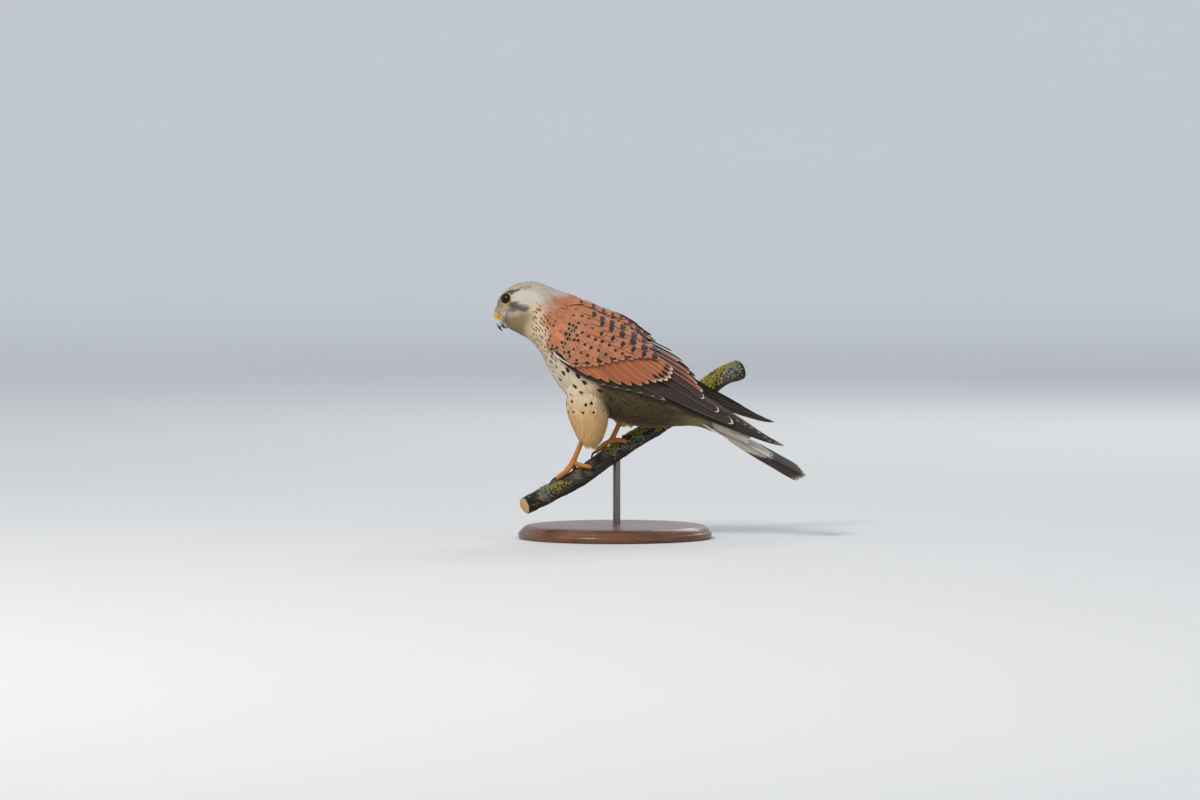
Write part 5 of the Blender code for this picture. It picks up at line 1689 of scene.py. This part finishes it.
class EyeOperator(bpy.types.Operator):
    """Eyes with their dark iris, and the bare yellow ring round each"""

    bl_idname = "kestrel.eyes"
    bl_label = "Eyes"

    def execute(self, context):
        parts = context.scene.kestrel_parts
        finish_material("eye_surface", 0.06, 900.0, 0.2, 0.0, specular=0.22)
        finish_material("eye_ring_skin", 0.5, 1400.0, 0.35, 0.35)
        for side in ("left", "right"):
            centre, look, front, up = eye_frame(side)

            def spoke(turn):
                """Directions square to the look, at angles counted from the bill's side upwards."""
                return front * np.cos(turn)[..., None] + up * np.sin(turn)[..., None]

            tilt, turn = rings(np.linspace(0.015, np.pi - 0.015, 64), 64)
            radius = EYE_RADIUS * (1 + 0.03 * step_up(tilt, 0.75, 0.35))
            out = look * np.cos(tilt)[..., None] + spoke(turn) * np.sin(tilt)[..., None]
            rays = 1 + 0.25 * np.sin(turn * 37) * step_up(tilt, 0.3, 0.5)
            iris = step_up(tilt, 0.46, 0.54) * step_up(tilt, 0.86, 0.70)
            tint = mixed((0.003, 0.003, 0.003), parts.iris, iris) * rays[..., None]
            eye = closed_grid("eye_" + side + "_ball", centre + radius[..., None] * out, "eye_surface", tint)
            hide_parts("eye_" + side)
            turns, around = circle(96)[:, None], circle(20)[None]
            brow = step_up(-np.sin(turns + 0.25), 0.1, 1.0)
            wide = 0.36 + 0.10 * (1 - np.cos(turns)) + 0.40 * brow + 0.02 * np.sin(turns * 23)
            fold = 1 + 0.07 * np.sin(turns * 31 + 4 * around)
            deep = np.clip(-np.sin(around), 0, 1)
            flare = 1.1 * deep * step_up(np.cos(around), -0.7, 0.1)
            reach = EYE_OPENING - 0.12 + wide + wide * fold * np.cos(around) + flare
            thick = (0.42 + 0.35 * step_up(np.cos(turns), 0.2, 1)) * fold * np.sin(around) * (1 + 6 * deep)
            height = EYE_RADIUS * 0.66 + thick
            grid = centre + look * height[..., None] + spoke(turns) * reach[..., None]
            dark = step_up(np.cos(around), 0.1, -0.6)
            for strength, middle, low, high in ((0.85, 1.0, 0.1, 0.8), (0.55, 3.7, 0.75, 1.0)):
                dark = np.maximum(dark, strength * step_up(np.cos(turns - middle), low, high))
            tint = mixed(parts.cere, (0.02, 0.014, 0.01), dark)
            tint = mixed(tint, context.scene.kestrel_plumage.crown, step_up(deep, 0.2, 0.6) + 0 * dark)
            lid = ring_piece("eye_ring_" + side, grid, "eye_ring_skin", tint)
        return {"FINISHED"}


def ring_piece(name, grid, material, tint):
    """A closed ring from a grid that joins up both ways."""
    index = np.arange(grid[..., 0].size).reshape(grid.shape[:2])
    after, beside = np.roll(index, -1, 0), np.roll(index, -1, 1)
    quads = np.stack([index, beside, np.roll(after, -1, 1), after], axis=-1).reshape(-1, 4)
    points = grid.reshape(-1, 3)
    return mesh_object(name, points, facing_out(points, quads), material, {"tint": tint.reshape(-1, 3)})


def perch_frame(place):
    """The branch's centre, its upward side, its near side and its radius at a place in rows."""
    place = np.asarray(place, float)
    row = along(PERCH, place)
    ahead = unit(along(PERCH, place + 0.05)[..., :3] - along(PERCH, place - 0.05)[..., :3])
    near = unit(np.cross(ahead, np.broadcast_to([0.0, 0, 1], ahead.shape)))
    return row[..., :3], np.cross(near, ahead), near, row[..., 3:4]


def on_perch(place, angle, lift):
    """A point over the branch's bark: angle in degrees from its top towards its near side."""
    centre, up, near, radius = perch_frame(place)
    turn = np.radians(angle)[..., None]
    return centre + (radius + lift[..., None]) * (up * np.cos(turn) + near * np.sin(turn))


def nearest_place(point):
    """The place on the branch that lies nearest a point."""
    places = np.linspace(0, PERCH_LAST, 400)
    return places[np.argmin(np.linalg.norm(along(PERCH, places)[:, :3] - point, axis=1))]


def scutes(share, turn, bands=26, depth=0.10):
    """Relief of scaly skin: bands across the front, broken into smaller scales at the back."""
    plates = np.abs(np.sin(share * bands * np.pi)) ** 0.5
    scales = np.abs(np.sin(share * bands * np.pi * 1.4 + 2 * np.sin(turn * 5))) * np.abs(np.sin(turn * 5))
    front = step_up(np.cos(turn), -0.2, 0.5)
    return depth * (plates * front + scales**0.5 * (1 - front) - 0.5)


def toe_scutes(share, turn):
    """Scaly skin with the fewer, flatter bands of a toe."""
    return scutes(share, turn, 14, 0.09)


def evenly(share, values):
    """Values at evenly spaced places, read between them in straight lines."""
    return np.interp(share, np.linspace(0, 1, len(values)), values)


class FootOperator(bpy.types.Operator):
    """Scaly legs, toes that grip the branch, and curved claws"""

    bl_idname = "kestrel.feet"
    bl_label = "Legs and feet"

    def execute(self, context):
        parts = context.scene.kestrel_parts
        finish_material("leg_skin", 0.6, 900.0, 0.7, 0.5, parts.leg)
        finish_material("claw_horn", 0.22, 500.0, 0.4, 0.1, parts.claw, coat=0.4)
        for side in ("left", "right"):
            ankle, joint = (np.array(p) for p in LEGS[side])
            share = np.linspace(0, 1, 90)
            path = joint + np.outer(share, ankle - joint)
            radii = LEG_RADIUS * evenly(share, [1.05, 0.92, 0.9, 0.95, 1.05, 1.2])
            leg = tube("leg_" + side + "_skin", path, radii, "leg_skin", 36, scutes)
            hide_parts("leg_" + side)
            start = nearest_place(joint)
            row_length = np.linalg.norm(along(PERCH, start + 0.5)[:3] - along(PERCH, start - 0.5)[:3])
            toes = []
            for k, (reach, angle, arch, radius) in enumerate(TOES[side]):
                knots = np.array([0.4, 0.7, 1.0])
                lift = radius + TOE_GAP + arch * (1 - knots)
                line = np.vstack([joint, on_perch(start + reach / row_length * knots, angle * knots, lift)])
                share = np.linspace(0, 1, 60)
                fine = along(line, share * (len(line) - 1))
                pads = radius * evenly(share, [1.15, 1.0, 1.08, 0.92, 1.05, 0.98, 0.72])
                pads = pads + 0.10 * np.abs(np.sin(share * 3.5 * np.pi))
                pads[-3:] *= [0.95, 0.8, 0.5]
                toes.append(tube(f"toe_{side}_{k}", fine, pads, "leg_skin", 24, toe_scutes))
                toe_length = np.linalg.norm(np.diff(fine, axis=0), axis=1).sum()
                run = np.linspace(0, 1, 40)
                on = 0.93 + run * CLAW_LENGTH * 1.04 / toe_length
                rise = pads[-8] + TOE_GAP + CLAW_ARCH * np.sin(np.pi * run**0.8) - (pads[-8] - 0.2) * run
                path = on_perch(start + reach / row_length * on, angle * on, rise)
                radii = CLAW_RADIUS * np.sqrt(np.maximum(1 - 0.985 * run, 0.01))
                claw = tube(f"claw_{side}_{k + 1}_horn", path, radii, "claw_horn", 24)
                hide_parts(f"claw_{side}_{k + 1}")
            knuckle = closed_grid("knuckle", joint + ball(0.03, 24, 32) * JOINT_RADIUS, "leg_skin")
            foot = joined("foot_" + side + "_skin", [knuckle, *toes])
            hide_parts("foot_" + side)
        return {"FINISHED"}


def grain(points, seed, low, high):
    """A smooth field over points in mm, about -1 to 1: the mean of sines of seeded direction and phase."""
    rng = np.random.default_rng(seed)
    total = 0.0
    for _ in range(GRAIN_WAVES):
        direction = unit(rng.standard_normal(3)) * rng.uniform(low, high)
        total = total + np.sin(points @ direction + rng.uniform(0, FULL_TURN))
    return total / math.sqrt(GRAIN_WAVES)


def unrolled(place, turn):
    """Points on a plain round rod about as thick as the branch, in mm, where the bark's fields are read."""
    return np.stack([ROD_RADIUS * np.cos(turn), ROD_RADIUS * np.sin(turn), ROD_ROW * place], axis=-1)


def bark_point(place, turn):
    """A point of the bark, its relief in mm and the way out from the branch.

    The relief is of knobs, long plates and the cracks between them, and is calm near the feet.
    """
    centre, up, near, radius = perch_frame(place)
    local = unrolled(place, turn)
    calm = np.clip(np.abs(place - FEET_PLACE) - CALM_REACH, 0, 1)
    plates = np.abs(grain(local * [1, 1, 0.30], 91, 0.5, 1.1)) ** 0.5
    knobs = grain(local, 92, 0.25, 0.5)
    rough = grain(local, 93, 1.6, 3.2)
    relief = (plates - 0.75) * (0.6 + 0.4 * calm) + 0.45 * knobs * calm + 0.16 * rough
    swell = 0.05 * np.sin(3 * turn + 1.7 * place) + 0.04 * np.sin(2 * turn - 2.3 * place + 1)
    reach = radius * (1 + swell * calm - 0.02 * (1 - calm))[..., None]
    reach = reach + (bpy.context.scene.kestrel_parts.bark_depth * relief)[..., None]
    side = up * np.cos(turn)[..., None] + near * np.sin(turn)[..., None]
    return centre + reach * side, relief, side


def lichen():
    """Lobes of lichen on the upper bark: small wavy cups, each a ring round a middle, yellow or grey."""
    parts = bpy.context.scene.kestrel_parts
    rng = np.random.default_rng(97)
    place = rng.uniform(0.15, PERCH_LAST - 0.15, LICHEN_TRIES)
    turn = rng.normal(0.35, 0.75, LICHEN_TRIES)
    local = unrolled(place, turn)
    patch = grain(local, 98, 0.15, 0.35) + 0.5 * grain(local, 99, 0.5, 0.9)
    crowd = 0.35 + 1.1 * step_up(place, 4.2, 6.5) + 0.55 * step_up(place, 2.4, 0.8)
    keep = (patch > 0.95 - crowd) & ((place < 1.9) | (place > 4.4)) & (rng.random(LICHEN_TRIES) < 0.75)
    place, turn, local = place[keep], turn[keep], local[keep]
    count = len(place)
    size = rng.uniform(0.45, 1.35, count) * (0.8 + 0.4 * step_up(place, 4.5, 7))
    base, _, side = bark_point(place, turn)
    axis = unit(side + 0.35 * rng.standard_normal((count, 3)))
    one = unit(np.cross(axis, [0.3, 0.9, 0.2]))
    two = np.cross(axis, one)
    angle = circle(8)[None] + rng.uniform(0, FULL_TURN, (count, 1))
    reach = size[:, None] * rng.uniform(0.65, 1.2, (count, 8))
    lift = 0.35 * size[:, None] * rng.uniform(0.4, 1.3, (count, 8)) + 0.1
    spokes = one[:, None] * np.cos(angle)[..., None] + two[:, None] * np.sin(angle)[..., None]
    ring = base[:, None] + reach[..., None] * spokes + axis[:, None] * lift[..., None]
    middle = base + axis * (0.10 + 0.25 * size)[:, None]
    root = base - axis * 0.5
    points = np.concatenate([ring, middle[:, None], root[:, None]], axis=1).reshape(-1, 3)
    k = np.arange(8)
    after = (k + 1) % 8
    faces = np.concatenate([np.stack([k, after, 0 * k + 8], 1), np.stack([after, k, 0 * k + 9], 1)])
    index = (faces[None] + 10 * np.arange(count)[:, None, None]).reshape(-1, 3)
    yellow = step_up(grain(local, 100, 0.12, 0.3) + 0.8 * step_up(place, 5.0, 8.0), 0.15, 0.55)
    tint = mixed(parts.crust, parts.lichen, yellow) * rng.uniform(0.55, 1.15, (count, 1))
    tint = np.repeat(tint[:, None], 10, axis=1)
    tint[:, 8:] *= 0.6
    corner = np.stack([(turn + 3.2) / 6.4, place / PERCH_LAST], axis=-1)[:, None]
    spot = corner + 0.0012 * np.stack([np.cos(angle), np.sin(angle)], -1)
    maps = {"OFBake": np.concatenate([spot, corner, corner], axis=1).reshape(-1, 2)}
    finish = finish_material("lichen", 0.95, 900.0, 0.6, 0.5)
    return mesh_object("branch_lichen", points, [index], finish, {"tint": tint.reshape(-1, 3)}, maps)


class PerchOperator(bpy.types.Operator):
    """The cut branch with its bark, sawn ends and lichen"""

    bl_idname = "kestrel.perch"
    bl_label = "Branch"

    def execute(self, context):
        parts = context.scene.kestrel_parts
        place, turn = rings(np.linspace(0, PERCH_LAST, 600), 150)
        grid, relief, _ = bark_point(place, turn)
        for end in (0, -1):
            grid[end] += (grid[end].mean(0) - grid[end]) * 0.08
        top = step_up(np.cos(turn - 0.3) + 0.3 * relief, -0.1, 0.8)
        # The bark darkens to a third of its colour in its cracks: painted shade in the hollows.
        tint = mixed(np.array(parts.bark), np.array(parts.bark) * 0.3, step_up(relief, 0.05, -0.4))
        tint = mixed(tint, np.array(parts.crust) * 0.8, 0.5 * top * step_up(relief, 0.1, 0.5))
        tint[0] = tint[-1] = tone(186, 152, 108)
        piece = closed_grid("branch_bark", grid, finish_material("bark", 0.92, 260.0, 0.9, 0.9), tint)
        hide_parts("perch")
        for part in (piece, lichen()):
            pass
        return {"FINISHED"}


class StandOperator(bpy.types.Operator):
    """Turned wooden base and its metal rod"""

    bl_idname = "kestrel.stand"
    bl_label = "Stand"

    def execute(self, context):
        parts = context.scene.kestrel_parts
        low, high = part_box("stand_base")
        radius, height = (high[0] - low[0]) / 2 / MM, high[2] / MM
        profile = np.array([
            (radius - 2.5, 0.0), (radius - 0.6, 0.6), (radius, 2.0), (radius, 5.0), (radius - 0.8, 6.0),
            (radius - 1.6, 6.4), (radius - 2.2, 7.6), (radius - 4.4, 9.8), (radius - 7.0, height - 0.4),
            (radius - 9.0, height), (radius - 30, height),
        ])
        reach, level = profile[:, :1], profile[:, 1:]
        turn = circle(160)[None]
        grid = np.stack(np.broadcast_arrays(reach * np.cos(turn), reach * np.sin(turn), level), axis=-1)
        base = closed_grid("base_wood", grid, wood_material("stand_wood", parts.wood), sharp=40)
        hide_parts("stand_base")
        steel = finish_material("stand_metal", 0.34, 400.0, 0.12, 0.05, parts.metal, metallic=0.95)
        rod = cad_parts["stand_rod"].data
        rod.materials.clear()
        rod.materials.append(bpy.data.materials[steel])
        return {"FINISHED"}


def wood_material(name, colour):
    """Turned hardwood: long grain across the base, in bands of two tones under a satin finish."""
    tree, shader = new_material(name)
    mapping = tree.nodes.new("ShaderNodeMapping")
    feed(mapping, {"Vector": object_place(tree), "Scale": (6.0, 90.0, 60.0)})
    stretched = Signal(mapping.outputs[0])
    broad, fine = noise(stretched, 1.0, 5.0, 0.6), noise(stretched, 9.0, 3.0, 0.7)
    bands = ramp(broad * 0.7 + fine * 0.3, 0.35, 0.65)
    feed(shader, {
        "Base Color": blend(bands, solid_colour(np.array(colour) * 0.45), solid_colour(colour)),
        "Roughness": 0.38, "Coat Weight": 0.25,
    })
    raise_bump(shader, fine, 0.15)
    return name


class KestrelPanel(bpy.types.Panel):
    """The pieces of the kestrel, each with its button, and their settings"""

    bl_idname = "KESTREL_PT_pieces"
    bl_label = "Kestrel"
    bl_space_type = "VIEW_3D"
    bl_region_type = "UI"
    bl_category = "Kestrel"

    def draw(self, context):
        for settings in (context.scene.kestrel_plumage, context.scene.kestrel_parts):
            for key in settings.__annotations__:
                self.layout.prop(settings, key)
        for operator in OPERATORS:
            self.layout.operator(operator.bl_idname)


OPERATORS = (
    StageOperator, SkinOperator, HeadCoatOperator, BodyCoatOperator, ThighOperator, WingOperator,
    TailOperator, BillOperator, EyeOperator, FootOperator, PerchOperator, StandOperator,
)
CLASSES = (PlumageSettings, PartSettings, *OPERATORS, KestrelPanel)


def register():
    """Registers the classes and puts the settings on the scene."""
    for item in CLASSES:
        bpy.utils.register_class(item)
    bpy.types.Scene.kestrel_plumage = bpy.props.PointerProperty(type=PlumageSettings)
    bpy.types.Scene.kestrel_parts = bpy.props.PointerProperty(type=PartSettings)


def unregister():
    """Takes the settings and the classes away."""
    del bpy.types.Scene.kestrel_plumage
    del bpy.types.Scene.kestrel_parts
    for item in reversed(CLASSES):
        bpy.utils.unregister_class(item)


def main():
    """Makes every piece in order."""
    register()
    bpy.ops.kestrel.stage()
    bpy.ops.kestrel.skin()
    bpy.ops.kestrel.head_coat()
    bpy.ops.kestrel.body_coat()
    bpy.ops.kestrel.thighs()
    bpy.ops.kestrel.wings()
    bpy.ops.kestrel.tail()
    bpy.ops.kestrel.bill()
    bpy.ops.kestrel.eyes()
    bpy.ops.kestrel.feet()
    bpy.ops.kestrel.perch()
    bpy.ops.kestrel.stand()


if __name__ == "__main__":
    main()
